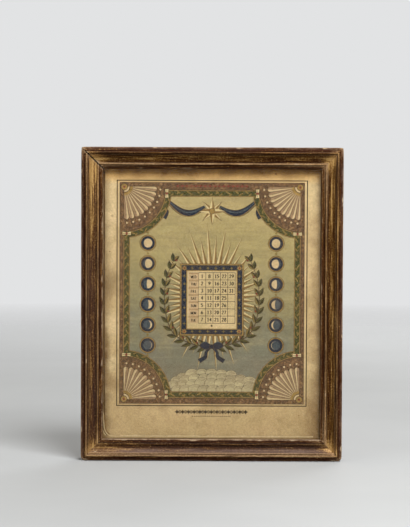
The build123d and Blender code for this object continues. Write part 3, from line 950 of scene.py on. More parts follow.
def draw_bow(press):
    """A ribbon bow that ties the two branches."""
    centre = np.array((0.0, BOW_Z))
    for side in SIDES:
        tail = curve(centre + [(0, 0), (side * 5, -5), (side * 6, -10), (side * 12, -14)])
        loop = curve(centre + [(0, 0), (side * 6, 4.5), (side * 11, 1), (side * 6, -2.5)], closed=True)
        middle = centre + (side * 5.5, 0.9)
        press.stroke("brown", tail, np.linspace(2.0, 4.6, len(tail)))
        press.stroke("blue", tail, np.linspace(1.3, 3.8, len(tail)))
        press.fill("brown", middle + (loop - middle) * 1.14)
        press.fill("blue", loop)
        press.stroke("blue_light", loop[3:9], 0.6)
    press.discs(centre, ("brown", 2.3, 14), ("blue", 1.8, 12))


def draw_tablet(press):
    """Blue bordered tablet with the ruled table of dates."""
    left, low, right, high = -TABLET_X, TABLET_LOW, TABLET_X, TABLET_HIGH
    for ink, grow in (("brown", BORDER + 1.6), ("gold", BORDER + 1.2), ("blue", BORDER), ("gold", 0.9)):
        press.rectangle(ink, left - grow, low - grow, right + grow, high + grow)
    middle = BORDER / 2
    ends_x, ends_z = (left - middle, right + middle), (low - middle, high + middle)
    studs = [(x, z) for x in np.linspace(*ends_x, 8) for z in ends_z]
    studs += [(x, z) for x in ends_x for z in np.linspace(*ends_z, 9)[1:-1]]
    for spot in studs:
        press.fill("leaf_gold", star(spot, 1.9, 0.55, 4))
    for corner in [(x, z) for x in ends_x for z in ends_z]:
        press.fill("gold", star(corner, 3.0, 1.5, 8))
        press.discs(corner, ("red", 0.9, 8))
    press.rectangle("tablet", left, low, right, high)
    for row in range(len(WEEKDAYS) + 1):
        z = TABLE_LOW + row * ROW_PITCH
        press.rectangle("figure", WINDOW_RIGHT, z - LINE / 2, -TABLE_LEFT, z + LINE / 2)
    for column in range(DATE_COLUMNS + 1):
        x = WINDOW_RIGHT + column * COLUMN_WIDTH
        press.rectangle("figure", x - LINE / 2, TABLE_LOW, x + LINE / 2, TABLE_HIGH)
    for date in range(1, LAST_DATE + 1):
        column, row = divmod(date - 1, len(WEEKDAYS))
        centre = (WINDOW_RIGHT + (column + 0.5) * COLUMN_WIDTH, TABLE_HIGH - (row + 0.5) * ROW_PITCH)
        write(press, str(date), centre, *DATE_PEN)
    press.fill("figure", star((0.0, (TABLET_LOW + TABLE_LOW) / 2), 1.5, 0.7, 4))


def draw_moons(press):
    """A column of moons on either side, waxing on the left and waning on the right."""
    lowest = PANEL_MIDDLE - MOON_PITCH * (MOONS_PER_SIDE - 1) / 2
    radius = 4.3
    setting = (("brown", 8.0, 28), ("gold", 7.6, 28), ("brown", 6.7, 28), ("blue", 6.4, 28))
    limb = heading(np.linspace(math.pi / 2, -math.pi / 2, 13))
    for side in SIDES:
        x = side * MOON_X
        for order in range(MOONS_PER_SIDE):
            centre = (x, lowest + order * MOON_PITCH)
            press.discs(centre, *setting, ("blue_light", radius, 22))
            phase = (order + 1) / (MOONS_PER_SIDE + 1)
            inner = limb[-2:0:-1] * (math.cos(math.pi * phase), 1)
            press.fill("cream", np.vstack([limb, inner]) * (-radius * side, radius) + centre)
        for order in range(MOONS_PER_SIDE + 1):
            press.fill("leaf_gold", star((x, lowest + (order - 0.5) * MOON_PITCH), 1.9, 0.75, 5))


def draw_top(press):
    """A compass star between two ribbon swags."""
    centre = np.array((0.0, COMPASS_Z))
    reach = 12.6
    share = np.linspace(0, 1, 15)
    sag = np.sin(math.pi * share)
    width = 2.4 + 3.4 * sag
    for side in SIDES:
        start, hook = np.array((side * 7.0, 243.0)), np.array((side * 43.0, 249.0))
        path = start + (hook - start) * share[:, None]
        path[:, 1] -= 9.0 * sag
        press.stroke("brown", path, width + 1.0)
        press.stroke("blue", path, width)
        press.stroke("blue_light", path + (0.0, 0.9), width * 0.22)
        press.stroke("gold", path - np.column_stack([0 * width, width * 0.5]), 0.6)
        tail = curve(hook + [(0, 0), (side * 2.2, -6.0), (side * 0.4, -11.0), (side * 3.0, -17.0)])
        tail_width = np.linspace(1.6, 3.6, len(tail))
        press.stroke("brown", tail, tail_width + 0.8)
        press.stroke("blue", tail, tail_width)
        press.discs(hook, ("brown", 3.2, 14), ("gold", 2.7, 14), ("red", 1.2, 10))
    press.fill("brown", star(centre, 13.6, 5.2, 8))
    for points, inner in ((8, 4.6), (4, 3.6)):
        for point in range(points):
            angle = math.pi / 2 + math.tau * point / points
            tip = centre + reach * heading(angle)
            for side, ink in ((1, "ray_light"), (-1, "ray_dark")):
                notch = centre + inner * heading(angle + side * math.pi / points)
                press.fill(ink, [centre, tip, notch][::side])
    press.discs(centre, ("brown", 3.0, 16), ("gold", 2.5, 16))


def draw_band(press):
    """Laurel band round the open field, between gold fillets."""
    press.ring("green", scooped_panel(0.0), scooped_panel(BAND))
    for index, (spot, angle) in enumerate(zip(*even_path(scooped_panel(BAND / 2), 3.1))):
        for side in (1, -1):
            ink = ("leaf", "leaf_gold", "leaf")[(index + (side > 0)) % 3]
            press.fill(ink, turned(lens(4.6, 1.8, 4), spot, angle + side * 0.5))
        if index % 4 == 0:
            press.discs(spot, ("gold", 0.6, 7))
    for inset in (0.45, BAND - 0.45):
        for ink, width in (("brown", 1.1), ("gold", 0.6)):
            press.stroke(ink, scooped_panel(inset), width, closed=True)


def draw_ties(press):
    """Gold ties across the band where its straight sides end."""
    outline = np.array([(-1.6, -4.0), (1.6, -4.0), (1.0, 0.0), (1.6, 4.0), (-1.6, 4.0), (-1.0, 0.0)])
    middle = BAND / 2
    reach = PANEL_X - SCOOP - 1.5
    rise = (PANEL_HIGH - PANEL_LOW) / 2 - SCOOP - 1.5
    ties = [((x, z), 0.0) for x in (-reach, reach) for z in (PANEL_LOW + middle, PANEL_HIGH - middle)]
    for x in (middle - PANEL_X, PANEL_X - middle):
        ties += [((x, PANEL_MIDDLE + z), math.pi / 2) for z in (-rise, rise)]
    for spot, angle in ties:
        press.fill("brown", turned(outline * (1.25, 1.08), spot, angle))
        press.fill("ray_light", turned(outline, spot, angle))
        press.stroke("brown", turned([(0, -3.6), (0, 3.6)], spot, angle), 0.4)
        press.discs(spot, ("red", 1.2, 10))


def draw_rules(press):
    """Ornamental rules above and below the plate."""
    upper_pitch, lower_pitch, dot_pitch, dots_half = 4.4, 5.5, 1.8, 18.0
    for x in np.arange(-ROW_HALF, ROW_HALF + 0.1, upper_pitch):
        press.fill("red", star((x, UPPER_ROW), 1.6, 0.8, 4))
        if x < ROW_HALF - 1:
            press.discs((x + upper_pitch / 2, UPPER_ROW), ("red", 0.6, 7))
    share = np.linspace(0, 1, 7)
    swell = np.sin(math.pi * share)
    for x in np.arange(-ROW_HALF, ROW_HALF + 0.1, lower_pitch):
        press.fill("figure", star((x, LOWER_ROW), 2.3, 1.2, 4))
        if x < ROW_HALF - 1:
            for lift in (-1.25, 1.25):
                path = np.column_stack([x + 1.1 + 3.3 * share, LOWER_ROW + lift * swell])
                press.stroke("figure", path, 0.35 + 0.45 * swell)
            press.discs((x + lower_pitch / 2, LOWER_ROW), ("figure", 0.55, 7))
    for x in np.arange(-dots_half, dots_half + 0.1, dot_pitch):
        press.discs((x, LOWER_ROW - 4.2), ("figure", 0.52, 7))


# Spots of foxing: place and radius
FOXING = ((60.8, 275.0, 1.1), (-98.0, 200.0, 0.7), (97.5, 96.0, 0.6), (-70.0, 34.0, 0.5), (84.0, 43.0, 0.6))
# Dark, pale and stained lines along the left edge of the opening and round its lower left corner: ink, width,
# and points in from that corner
LEFT_EDGE_LINES = (
    ("dark_line", 0.6, [(0.1, 16), (0.4, 9.5), (1.6, 5.2), (4.4, 2.0)]),
    ("pale_line", 0.8, [(0.1, 7), (1.2, 4.4), (3.0, 2.4)]),
    ("pale_line", 0.8, [(0.6, 24), (0.8, 16), (1.3, 10), (2.7, 5.8), (5.6, 2.5), (11, 1.4), (22, 1.2)]),
    ("dark_line", 1.3, [(0.8, 256), (1.0, 190), (0.9, 130), (1.1, 60), (1.3, 30), (1.5, 16)]),
    ("stain", 1.2, [(1.4, 22), (2.3, 11), (4.0, 5.8), (6.8, 3.0)]),
)


def draw_stains(press):
    """Foxing, a painted highlight above the foot of the opening, and dark and pale lines along its sides."""
    rng = np.random.default_rng(11)
    for x, z, radius in FOXING:
        press.fill("stain", circle((0, 0), 1.0, 11) * (radius * rng.uniform(0.7, 1.2, 11))[:, None] + (x, z))
    # A pale line just above the foot of the opening: a painted highlight along the sheet's edge
    x = np.linspace(-88, 98, 60)
    swell = fractal_noise(41, x / 8, 0.5 + 0 * x)
    pale_line = np.column_stack([x, SIGHT_LOW + 1.7 + 0.5 * swell])
    press.stroke("pale_line", pale_line, np.clip(1.3 + 1.2 * swell, 0.2, 2.4))
    # A dark line along the right edge of the opening
    z = np.linspace(SIGHT_LOW, SIGHT_HIGH, 60)
    swell = fractal_noise(43, z / 11, 0.5 + 0 * z)
    press.stroke("dark_line", np.column_stack([SIGHT_X + 0 * z, z]), np.clip(0.5 + 0.9 * swell, 0.1, 1.6))
    for ink, width, points in LEFT_EDGE_LINES:
        line = curve(points, steps=12) + (-SIGHT_X, SIGHT_LOW)
        swell = fractal_noise(47, line[:, 1] / 7, line[:, 0] / 7)
        fade = smooth_step(1.0, 0.8, np.linspace(0, 1, len(line))) ** 0.5
        press.stroke(ink, line, width * (1 + 0.5 * swell) * fade + 0.1)


def border_loops(border):
    """Closed loops of the points that a border leads on from one to the next."""
    left = dict(border)
    while left:
        start, here = left.popitem()
        loop = [start]
        while here != start:
            loop.append(here)
            here = left.pop(here)
        yield loop


def printed_face(press):
    """Spots and triangles of a printed face, with the slot of each triangle, and none in the hole."""
    flat = [Vector(point) for point in press.points + press.grid]
    spots, _, faces, _, _, sources = delaunay_2d_cdt(flat, [], press.faces, 1, MERGE)
    inks = [press.inks[max(source)] for source in sources]
    corners = np.array([face for face, ink in zip(faces, inks) if ink != HOLE])
    slots = [INK_NAMES.index(ink) for ink in inks if ink != HOLE]
    used, faces = np.unique(corners, return_inverse=True)
    return np.array(spots)[used], faces.reshape(corners.shape).tolist(), slots


def plain_face(spots, border):
    """Triangles that cover what a border encloses, but not what lies in its holes."""
    ring, rings = [], []
    for loop in border_loops(border):
        numbers = list(range(len(ring), len(ring) + len(loop)))
        rings.append(numbers if signed_area(spots[loop]) > 0 else numbers[::-1])
        ring += loop
    flat = [Vector(spot) for spot in spots[ring]]
    _, _, faces, originals, _, sources = delaunay_2d_cdt(flat, [], rings, 1, 1e-5)
    covered = [face for face, source in zip(faces, sources) if len(source) == 1]
    return [[ring[originals[corner][0]] for corner in face] for face in covered]


def sheet_piece(name, press, hole=None, cockle=None):
    """A thin closed sheet with the press's shapes inlaid in its front face and a plain back."""
    front, back = press.low[1], press.high[1]
    if hole:
        press.rectangle(HOLE, *hole)
    spots, faces, slots = printed_face(press)
    x, z = spots.T
    points = np.column_stack([x, front - (cockle(x, z) if cockle else 0 * x), z])
    edges = dict.fromkeys(edge for face in faces for edge in zip(face, face[1:] + face[:1]))
    border = {a: b for a, b in edges if (b, a) not in edges}
    behind = {a: len(points) + order for order, a in enumerate(border)}
    walls = [[a, behind[a], behind[b], b] for a, b in border.items()]
    lids = [[behind[corner] for corner in face] for face in plain_face(spots, border)]
    points = np.vstack([points, points[list(border)] + (0, back - front, 0)])
    slots += [INK_NAMES.index(press.paper)] * len(walls + lids)
    return make_piece(name, points, faces + walls + lids, INKS.values(), 40, slots)


def sheet_cockle(x, z):
    """How far the old sheet swells towards the glass, in mm."""
    wave = fractal_noise(31, x / 58 + 7, z / 74 + 5, 2)
    return 0.16 + 0.15 * np.clip(wave * 1.4, -1, 1)


def print_sheet():
    """The aged sheet, drawn from the plate up, with the window for the strip cut out."""
    press = Press("paper", SHEET_LOW, SHEET_HIGH)
    draw_plate(press)
    for side in SIDES:
        for z, up in ((PICTURE_HIGH - FAN_INSET, -1), (PICTURE_LOW + FAN_INSET, 1)):
            draw_fan(press, (side * (PICTURE_X - FAN_INSET), z), math.atan2(up, -side))
    for ink, inset in (("brown", -0.5), ("sky", 0.5)):
        press.fill(ink, scooped_panel(inset))
    draw_clouds(press)
    draw_rays(press)
    for side in SIDES:
        draw_branch(press, side)
    for draw in (draw_bow, draw_tablet, draw_moons, draw_top, draw_band, draw_ties, draw_rules, draw_stains):
        draw(press)
    hole = (TABLE_LEFT, TABLE_LOW, WINDOW_RIGHT, TABLE_HIGH)
    dress(sheet_piece("printed_sheet", press, hole, sheet_cockle), "frame", "aged_paper", "print_sheet")


def weekday_strip():
    """Strip of weekdays, each name once and all but one again, with double lines between."""
    press = Press("weekday_paper", STRIP_LOW, STRIP_HIGH)
    centre_x, _, centre_z = (STRIP_LOW + STRIP_HIGH) / 2
    rows = 2 * len(WEEKDAYS) - 1
    for row in range(rows):
        z = centre_z + ((rows - 1) / 2 - row) * ROW_PITCH
        write(press, WEEKDAYS[row % len(WEEKDAYS)], (centre_x, z), *WEEKDAY_PEN)
    left, right = STRIP_LOW[0] + STRIP_MARGIN, STRIP_HIGH[0] - STRIP_MARGIN
    for row in range(rows + 1):
        for side in SIDES:
            z = centre_z + (rows / 2 - row) * ROW_PITCH + side * STRIP_SPLIT
            press.rectangle("stain", left, z - LINE / 2, right, z + LINE / 2)
    dress(sheet_piece("weekday_column", press), "weekday_slide", "weekday_paper", "weekday_strip")


# Gilt moulding

# The finish on each zone of the section: leaf left, bole showing, more leaf near corners, dust and painted
# sheen held
FINISH = {
    "side": (0.18, 0.80, 0.05, 0.55),
    "arris": (0.30, 0.50, 0.10, 0.30),
    "band": (0.22, 0.80, 0.08, 0.15),
    "riser": (0.20, 0.50, 0.10, 0.25),
    "bead": (0.46, 0.30, 0.30, 0.55),
    "quirk": (0.14, 0.40, 0.10, 0.30),
    "fillet": (0.40, 0.30, 0.25, 0.60),
    "cove": (0.50, 0.30, 0.54, 1.00),
    "inner_bead": (0.52, 0.20, 0.28, 0.50),
    "lip": (0.28, 0.50, 0.12, 0.30),
    "sight": (0.14, 0.60, 0.00, 0.30),
    "rebate": (0.0, 0.0, 0.0, 0.0),
    "back": (0.0, 0.0, 0.0, 0.0),
}
# Zones left as bare wood, and zones with no fine carving
WOODEN = ("rebate", "back")
PLAIN = ("side", *WOODEN)
# Wear of each rail: share of its sight edge that is bare, reach of leaf from both ends, leaf added, dust
# all over, and how far each of its ridges is rubbed
RIDGES = ("arris", "bead", "fillet", "inner_bead")
WEAR = {
    "bottom_rail": (0.85, (32.0, 8.0), -0.28, 0.20, (0.6, 1.6, 1.6, 0.1)),
    "top_rail": (0.15, (10.0, 6.0), -0.09, 0.0, (0.9, 0.08, 0.4, 1.5)),
    "left_stile": (0.42, (7.0, 58.0), -0.12, 0.20, (1.1, 0.7, 0.5, 0.65)),
    "right_stile": (0.20, (7.0, 8.0), 0.01, 0.0, (1.2, 0.35, 0.5, 0.85)),
}
PLAIN_RUB = 0.5
# Ridges worn flat: the zone, and the height that is left
FLATTENED = {"top_rail": ("inner_bead", INNER_BEAD_BASE + 0.6), "bottom_rail": ("bead", BEAD_BASE + 0.65)}
# Where a rub has spread beyond a ridge: from and to, across from the outside edge, how strong it is, and
# its reach from the ends of the rail
BARED = {
    "top_rail": (15.0, 18.6, 0.7, 45.0),
    "bottom_rail": (6.9, 8.3, 1.0, 900.0),
    "right_stile": (14.4, 18.4, 0.7, 36.0),
}
# Painted shade on the top rail's lip, which faces down, and in the recess between the bottom rail's inner
# bead and lip: from and to, across from the outside edge, and how strong it is
PAINTED_SHADE_BANDS = {"top_rail": (18.6, 21.5, 0.55), "bottom_rail": (16.1, 17.4, 0.95)}
# How much of the dust and painted sheen that a rail could hold lies on it
DUST_AND_SHEEN_LEFT = {"top_rail": 0.45}
# How much lighter the outer part of the cove is made and its inner part darker, and where across it, as a
# share of its width, it is lightest
COVE_SWELL, COVE_CREST = 0.13, 0.32
# How far the outer corners at both ends of a rail are knocked round, and the reach of that along it
FOOT_LOST, TOP_LOST, CORNER_REACH = 1.2, 0.35, 1.6
CORNERS_LOST = {
    "bottom_rail": (FOOT_LOST, FOOT_LOST),
    "top_rail": (TOP_LOST, TOP_LOST),
    "left_stile": (FOOT_LOST, TOP_LOST),
    "right_stile": (FOOT_LOST, TOP_LOST),
}
# Chips through to the gesso: place along the rail, place on the section, length, width and depth
CHIPS = {
    "bottom_rail": (
        (227.0, (20.4, 16.9), 2.2, 1.2, 0.7), (220.0, (20.4, 16.9), 1.8, 1.1, 0.6),
        (172.0, (20.5, 16.8), 3.6, 1.4, 0.8), (108.0, (20.5, 16.8), 5.5, 1.7, 1.0),
        (62.0, (20.5, 16.8), 3.0, 1.0, 0.5), (242.0, (0.4, 20.5), 2.5, 1.2, 0.6),
        (14.0, (9.5, 21.0), 1.5, 0.7, 0.2), (4.0, (1.0, 20.7), 2.4, 1.1, 0.5),
    ),
    "top_rail": (
        (70.0, (0.3, 20.6), 2.0, 0.9, 0.4), (150.0, (0.3, 20.6), 3.0, 0.9, 0.4),
        (232.0, (0.4, 20.6), 2.5, 1.0, 0.5), (205.0, (16.0, 19.3), 2.2, 0.7, 0.3),
    ),
    "left_stile": (
        (277.0, (0.3, 20.6), 2.0, 1.0, 0.5), (298.5, (0.5, 20.5), 2.2, 1.2, 0.4),
        (96.0, (5.5, 24.8), 2.0, 0.8, 0.3), (30.0, (0.3, 20.6), 2.8, 1.0, 0.5),
    ),
    "right_stile": (
        (250.5, (0.3, 20.6), 2.6, 1.3, 0.6), (245.5, (0.2, 20.2), 1.6, 1.0, 0.5),
        (120.0, (0.3, 20.6), 2.0, 0.8, 0.4), (64.0, (16.0, 19.3), 2.0, 0.7, 0.3),
        (12.0, (0.3, 20.6), 3.0, 1.1, 0.5),
    ),
}
# Gaps in the mitres at both ends of each rail, the line that a shut one shows, and the heights from the
# back between which a gap opens
OPEN_MITRE, MITRE_LINE = 0.8, 0.1
MITRE_SHUT, MITRE_OPEN = 9.0, 19.0
MITRE_GAPS = {
    "bottom_rail": (0.03, 0.05),
    "top_rail": (OPEN_MITRE, 0.04),
    "left_stile": (0.03, OPEN_MITRE),
    "right_stile": (0.05, 0.04),
}
# Distance along the section over which its turns are blurred to find ridges and hollows
TURN_BLUR = 0.45


def section_points(start, end, bend, step):
    """Points of a span of the section but its last: straight, round a corner, or bowed to its left."""
    start, end = np.array(start, float), np.array(end, float)
    chord = np.linalg.norm(end - start)
    if bend is None:
        count = max(1, round(chord / step))
        return start + (end - start) * (np.arange(count) / count)[:, None]
    if isinstance(bend, tuple):
        t = np.linspace(0, 1, 4, endpoint=False)[:, None]
        return start * (1 - t) ** 2 + 2 * np.array(bend) * t * (1 - t) + end * t**2
    radius = (chord**2 / 4 + bend**2) / (2 * abs(bend))
    half = 2 * math.atan2(2 * abs(bend), chord)
    run = (end - start) / chord
    left = np.array((-run[1], run[0])) * math.copysign(1, bend)
    centre = (start + end) / 2 + left * (abs(bend) - radius)
    angles = np.linspace(-half, half, max(4, round(2 * half * radius / step)), endpoint=False)[:, None]
    return centre + radius * (np.sin(angles) * run + np.cos(angles) * left)


def moulding_outline():
    """The moulding's section as points (from the outside edge, from the back) and the zone of each."""

    def beside(corner, other, radius):
        leg = np.subtract(other, corner)
        return corner + leg / np.linalg.norm(leg) * radius

    outer, inner = (0.0, BAND_EDGE), (MOULDING_WIDTH, SIGHT_EDGE)
    spans = (
        ("side", (0, 0), None),
        ("arris", beside(outer, (0, 0), OUTER_ROUND), outer),
        ("band", beside(outer, (BEAD_START, BAND_TOP), OUTER_ROUND), None),
        ("riser", (BEAD_START, BAND_TOP), None),
        ("bead", (BEAD_START, BEAD_BASE), FRAME_DEPTH - BEAD_BASE),
        ("quirk", (BEAD_END, BEAD_BASE), None),
        ("fillet", (BEAD_END, QUIRK_FLOOR), None),
        ("cove", (COVE_START, QUIRK_FLOOR), -COVE_SAG),
        ("inner_bead", (COVE_END, INNER_BEAD_BASE), (INNER_BEAD_END - COVE_END) / 2),
        ("lip", (INNER_BEAD_END, INNER_BEAD_BASE), None),
        ("lip", (INNER_BEAD_END, LIP_TOP), None),
        ("sight", beside(inner, (INNER_BEAD_END, LIP_TOP), ARRIS_ROUND), inner),
        ("sight", beside(inner, (MOULDING_WIDTH, REBATE_DEPTH), ARRIS_ROUND), None),
        ("rebate", (MOULDING_WIDTH, REBATE_DEPTH), None),
        ("rebate", (REBATE_WALL, REBATE_DEPTH), None),
        ("back", (REBATE_WALL, 0), None),
    )
    points, zones = [], []
    for (zone, start, bend), (_, end, _) in zip(spans, spans[1:] + spans[:1]):
        points.append(section_points(start, end, bend, PLAIN_STEP if zone in PLAIN else ACROSS_STEP))
        zones += [zone] * len(points[-1])
    return np.vstack(points), np.array(zones)


def section_facts(points):
    """Arc length, outward normals, and how convex and how hollow the section is at each point."""
    ahead = np.roll(points, -1, axis=0) - points
    behind = points - np.roll(points, 1, axis=0)
    arc = np.concatenate([[0], np.cumsum(np.linalg.norm(ahead, axis=1))[:-1]])
    run = ahead / np.linalg.norm(ahead, axis=1)[:, None] + behind / np.linalg.norm(behind, axis=1)[:, None]
    run /= np.linalg.norm(run, axis=1)[:, None]
    normals = np.column_stack([-run[:, 1], run[:, 0]])
    cross = behind[:, 0] * ahead[:, 1] - behind[:, 1] * ahead[:, 0]
    turn = -np.arctan2(cross, np.sum(behind * ahead, axis=1))
    blur = np.exp(-((arc[:, None] - arc[None, :]) ** 2) / (2 * TURN_BLUR**2))
    convex = np.clip(blur @ np.clip(turn, 0, None), 0, 2) / 2
    hollow = np.clip(blur @ np.clip(-turn, 0, None), 0, 1.3) / 1.3
    return arc, normals, convex, hollow


def tube(rows, columns):
    """Numbers of points in rows that close on themselves, those of the next points, and the quads between."""
    numbers = np.arange(rows * columns).reshape(rows, columns)
    ahead = np.roll(numbers, -1, axis=1)
    quads = np.stack([numbers[:-1], ahead[:-1], ahead[1:], numbers[1:]], axis=-1)
    return numbers.tolist(), ahead.tolist(), quads.reshape(-1, 4).tolist()


class Rail:
    """One mitred rail as a grid of points, with rows along it and the moulding's section across it."""

    def __init__(self, node, number, length):
        self.node, self.number, self.length, self.gaps = node, number, length, MITRE_GAPS[node]
        self.bare_edge, self.leaf_reaches, self.leaf_added, self.dusting, rubs = WEAR[node]
        self.ridges = dict(zip(RIDGES, rubs))
        self.section, self.zones = moulding_outline()
        self.arc, self.normals, self.convex, self.hollow = section_facts(self.section)
        self.front = ~np.isin(self.zones, WOODEN)
        self.u, self.v = self.section.T
        self.share = np.linspace(0, 1, round(length / ALONG_STEP) + 1)[:, None]
        self.along = self.u + self.share * (length - 2 * self.u)
        self.across = np.broadcast_to(self.arc, self.along.shape)
        self.inside = np.minimum(self.share, 1 - self.share) * (length - 2 * self.u)
        self.ragged = self.noise(12, 1.7, 0.8, 10)
        self.chip = np.zeros_like(self.along)

    def noise(self, seed, along, across, shift, octaves=3):
        """Noise over the rail, in cells so many mm long and wide, or the same all across for math.inf."""
        seed += 100 * self.number
        return fractal_noise(seed, self.along / along, self.across / across + shift, octaves)

    def within(self, low, high, rise, fall):
        """1 between two places on the section, with a soft rise and fall: how far outside and inside them."""
        start = smooth_step(low - rise[0], low + rise[1], self.u)
        return start * smooth_step(high + fall[0], high - fall[1], self.u)

    def sink(self):
        """How far the surface stands out: shrunk and rippled gesso, worn ridges, chips, a bare edge."""
        settle = 0.10 * self.noise(1, 16, 2.6, 40) - 0.07
        ripple = 0.05 * self.noise(5, 3.0, 1.1, 90, 2)
        knocks = np.clip(self.noise(8, 9, 3, 20) + 0.1, 0, 1)
        worn = self.convex * (0.10 + 0.34 * knocks + 0.9 * np.exp(-self.inside / 2.5))
        shift = (settle + ripple - worn) * self.front
        for at, spot, long, wide, depth in CHIPS[self.node]:
            middle = self.arc[np.argmin(np.linalg.norm(self.section - spot, axis=1))]
            near = np.exp(-(((self.along - at) / long) ** 2) - ((self.across - middle) / wide) ** 2)
            mask = smooth_step(0.34, 0.62, near + 0.22 * self.ragged) * self.front
            shift = shift - depth * mask
            self.chip = np.maximum(self.chip, mask)
        arris = self.arc[np.argmax(self.zones == "sight") + 1]
        ragged_width = np.clip(0.8 + 1.3 * self.noise(15, 7, math.inf, 3.5, 4), 0.12, 2.2)
        lost = smooth_step(0.30, 0.62, self.bare_edge - 0.5 * self.noise(17, 8, math.inf, 9.5))
        lost = lost * smooth_step(1.0, 0.6, np.abs(self.across - arris) / ragged_width)
        shift = shift - 0.45 * lost
        self.chip = np.maximum(self.chip, 0.85 * lost)
        shift = np.where(self.zones == "side", np.minimum(shift, 0), shift)
        shift[:, 0] = 0
        return shift

    def points(self):
        """Places of the worn surface: along the rail, in from its outside edge and up from its back."""
        shift = self.sink()
        inward, up = self.u + shift * self.normals[:, 0], self.v + shift * self.normals[:, 1]
        if self.node in FLATTENED:
            ridge, height = FLATTENED[self.node]
            flat = height + 0.2 * self.noise(33, 7, math.inf, 2.5)
            up = np.where(self.zones == ridge, np.minimum(up, flat), up)
        lost = np.where(self.share < 0.5, *CORNERS_LOST[self.node]) * np.exp(-self.inside / CORNER_REACH)
        inward = inward + lost * smooth_step(3.5, 0.5, self.u)
        parted = smooth_step(MITRE_SHUT, MITRE_OPEN, up) * smooth_step(1.0, 4.5, self.u)
        gap_start, gap_end = (np.maximum(gap * parted, MITRE_LINE) for gap in self.gaps)
        begin, end = inward + gap_start, self.length - inward - gap_end
        self.along = begin + self.share * (end - begin)
        self.from_ends = (self.along - begin, end - self.along)
        return self.along, inward, up

    def fringe(self):
        """Pale wear along the outside edge of the band."""
        edge = self.arc[np.argmax(self.zones == "band")]
        worn = np.exp(-np.abs(self.across - edge)) * smooth_step(4.4, 3.0, self.u) * self.ridges["arris"]
        return worn * np.clip(0.55 + 0.9 * self.noise(36, 6, 3, 70), 0, 1)

    def leaf(self, left, kept, dust_and_sheen_held, corner):
        """Leaf that is left on each zone and kept near corners, in streaks, made lighter on the outer part of
        the cove and darker on its inner part.
        """
        leaf = left + self.leaf_added * dust_and_sheen_held + kept * corner + 0.26 * self.noise(20, 46, 1.5, 60)
        share = (self.u - COVE_START) / (COVE_END - COVE_START)
        return leaf + (self.zones == "cove") * COVE_SWELL * np.cos(math.tau * (share - COVE_CREST))

    def rub(self, rubbed, cut, fringe):
        """Where hands and cloths have rubbed the leaf through."""
        handled = np.array([self.ridges.get(zone, PLAIN_RUB) for zone in self.zones])
        knocked = 1.6 * np.exp(-self.inside / 3.0)
        rub = self.convex * handled * (1.0 + 1.1 * rubbed + knocked) + cut * np.clip(0.6 + 1.8 * rubbed, 0, 2)
        if self.node in BARED:
            low, high, strength, reach = BARED[self.node]
            spread = self.within(low, high, (0.6, 0.2), (0.5, 0.7)) * bell(self.inside, reach)
            rub = rub + spread * strength * np.clip(0.8 + 0.6 * rubbed, 0, 1)
        flecks = self.noise(40, 1.6, 1.2, 5, 2)
        rub = rub + 0.9 * np.exp(-self.inside / 6) * np.clip(0.1 + 1.3 * flecks, 0, 1)
        return np.clip(rub + 0.7 * fringe * knocked, 0, 1) * self.front

    def finish(self, facing_up):
        """What the gilding takes up at each point: leaf, bole, rubbed and chipped places, grime and painted
        shade, and dusting with a painted sheen.
        """
        leaf_left, bole, leaf_kept, dust_and_sheen_held = np.array([FINISH[zone] for zone in self.zones]).T
        corner = np.maximum(*map(bell, self.from_ends, self.leaf_reaches))
        rubbed = self.noise(24, 11, 1.8, 30)
        cut = sum(gap * np.exp(-distance / 1.4) for gap, distance in zip(self.gaps, self.from_ends))
        fringe = self.fringe()
        rub = self.rub(rubbed, cut, fringe)
        broken = cut * np.clip(0.45 + 1.6 * rubbed, 0, 1) + 0.2 * self.ragged * (cut > 0.05)
        # Grime, and painted shade, in the hollows of the section, less near the corners
        grime_and_shade = np.clip(self.hollow * (0.95 + 0.5 * rubbed) * (1 - 0.75 * corner), 0, 1)
        # Painted shade in bands across the section, which also hides the rubbing there
        if self.node in PAINTED_SHADE_BANDS:
            low, high, strength = PAINTED_SHADE_BANDS[self.node]
            painted_shade = strength * (self.within(low, high, (0.2, 0.4), (0.2, 0.2)) * self.front)
            grime_and_shade = np.maximum(grime_and_shade, painted_shade * np.clip(1.0 + 0.5 * rubbed, 0, 1))
            rub = rub * (1 - painted_shade)
        # Dust, and a painted sheen on faces that turn up, with a dusting all over some rails
        settled = (0.85 + 0.5 * self.noise(28, 21, 2.2, 15)) * (1 - 0.4 * corner)
        dust = (smooth_step(0.12, 0.62, facing_up) + self.dusting) * settled * dust_and_sheen_held
        return {
            "along": self.along,
            "across": self.across,
            "rail": 7.0 * self.number,
            "gilt": self.leaf(leaf_left, leaf_kept, dust_and_sheen_held, corner),
            "bole": bole,
            "rub": rub,
            "grime_and_shade": grime_and_shade,
            "chip": np.maximum(self.chip, 0.9 * smooth_step(0.22, 0.5, broken) * self.front),
            "dust": np.maximum(dust * DUST_AND_SHEEN_LEFT.get(self.node, 1.0), fringe * self.front),
        }


def set_in_frame(node, along, inward, up):
    """Places on a rail as points in the frame."""
    half = FRAME_WIDTH / 2
    x, z = {
        "bottom_rail": (along - half, inward),
        "top_rail": (along - half, FRAME_HEIGHT - inward),
        "left_stile": (inward - half, along),
        "right_stile": (half - inward, along),
    }[node]
    return np.stack([x, BACK_Y - up, z], axis=-1).reshape(-1, 3)


RAIL_WOOD = ((164, 124, 80), (130, 93, 57), (88, 58, 34))
BOARD_WOOD = ((148, 110, 70), (116, 82, 50), (72, 47, 28))
MITRE_WOOD = ((52, 34, 16), (38, 24, 10), (26, 16, 7))
SLIP_WOOD = ((184, 148, 100), (152, 116, 74), (108, 78, 48))


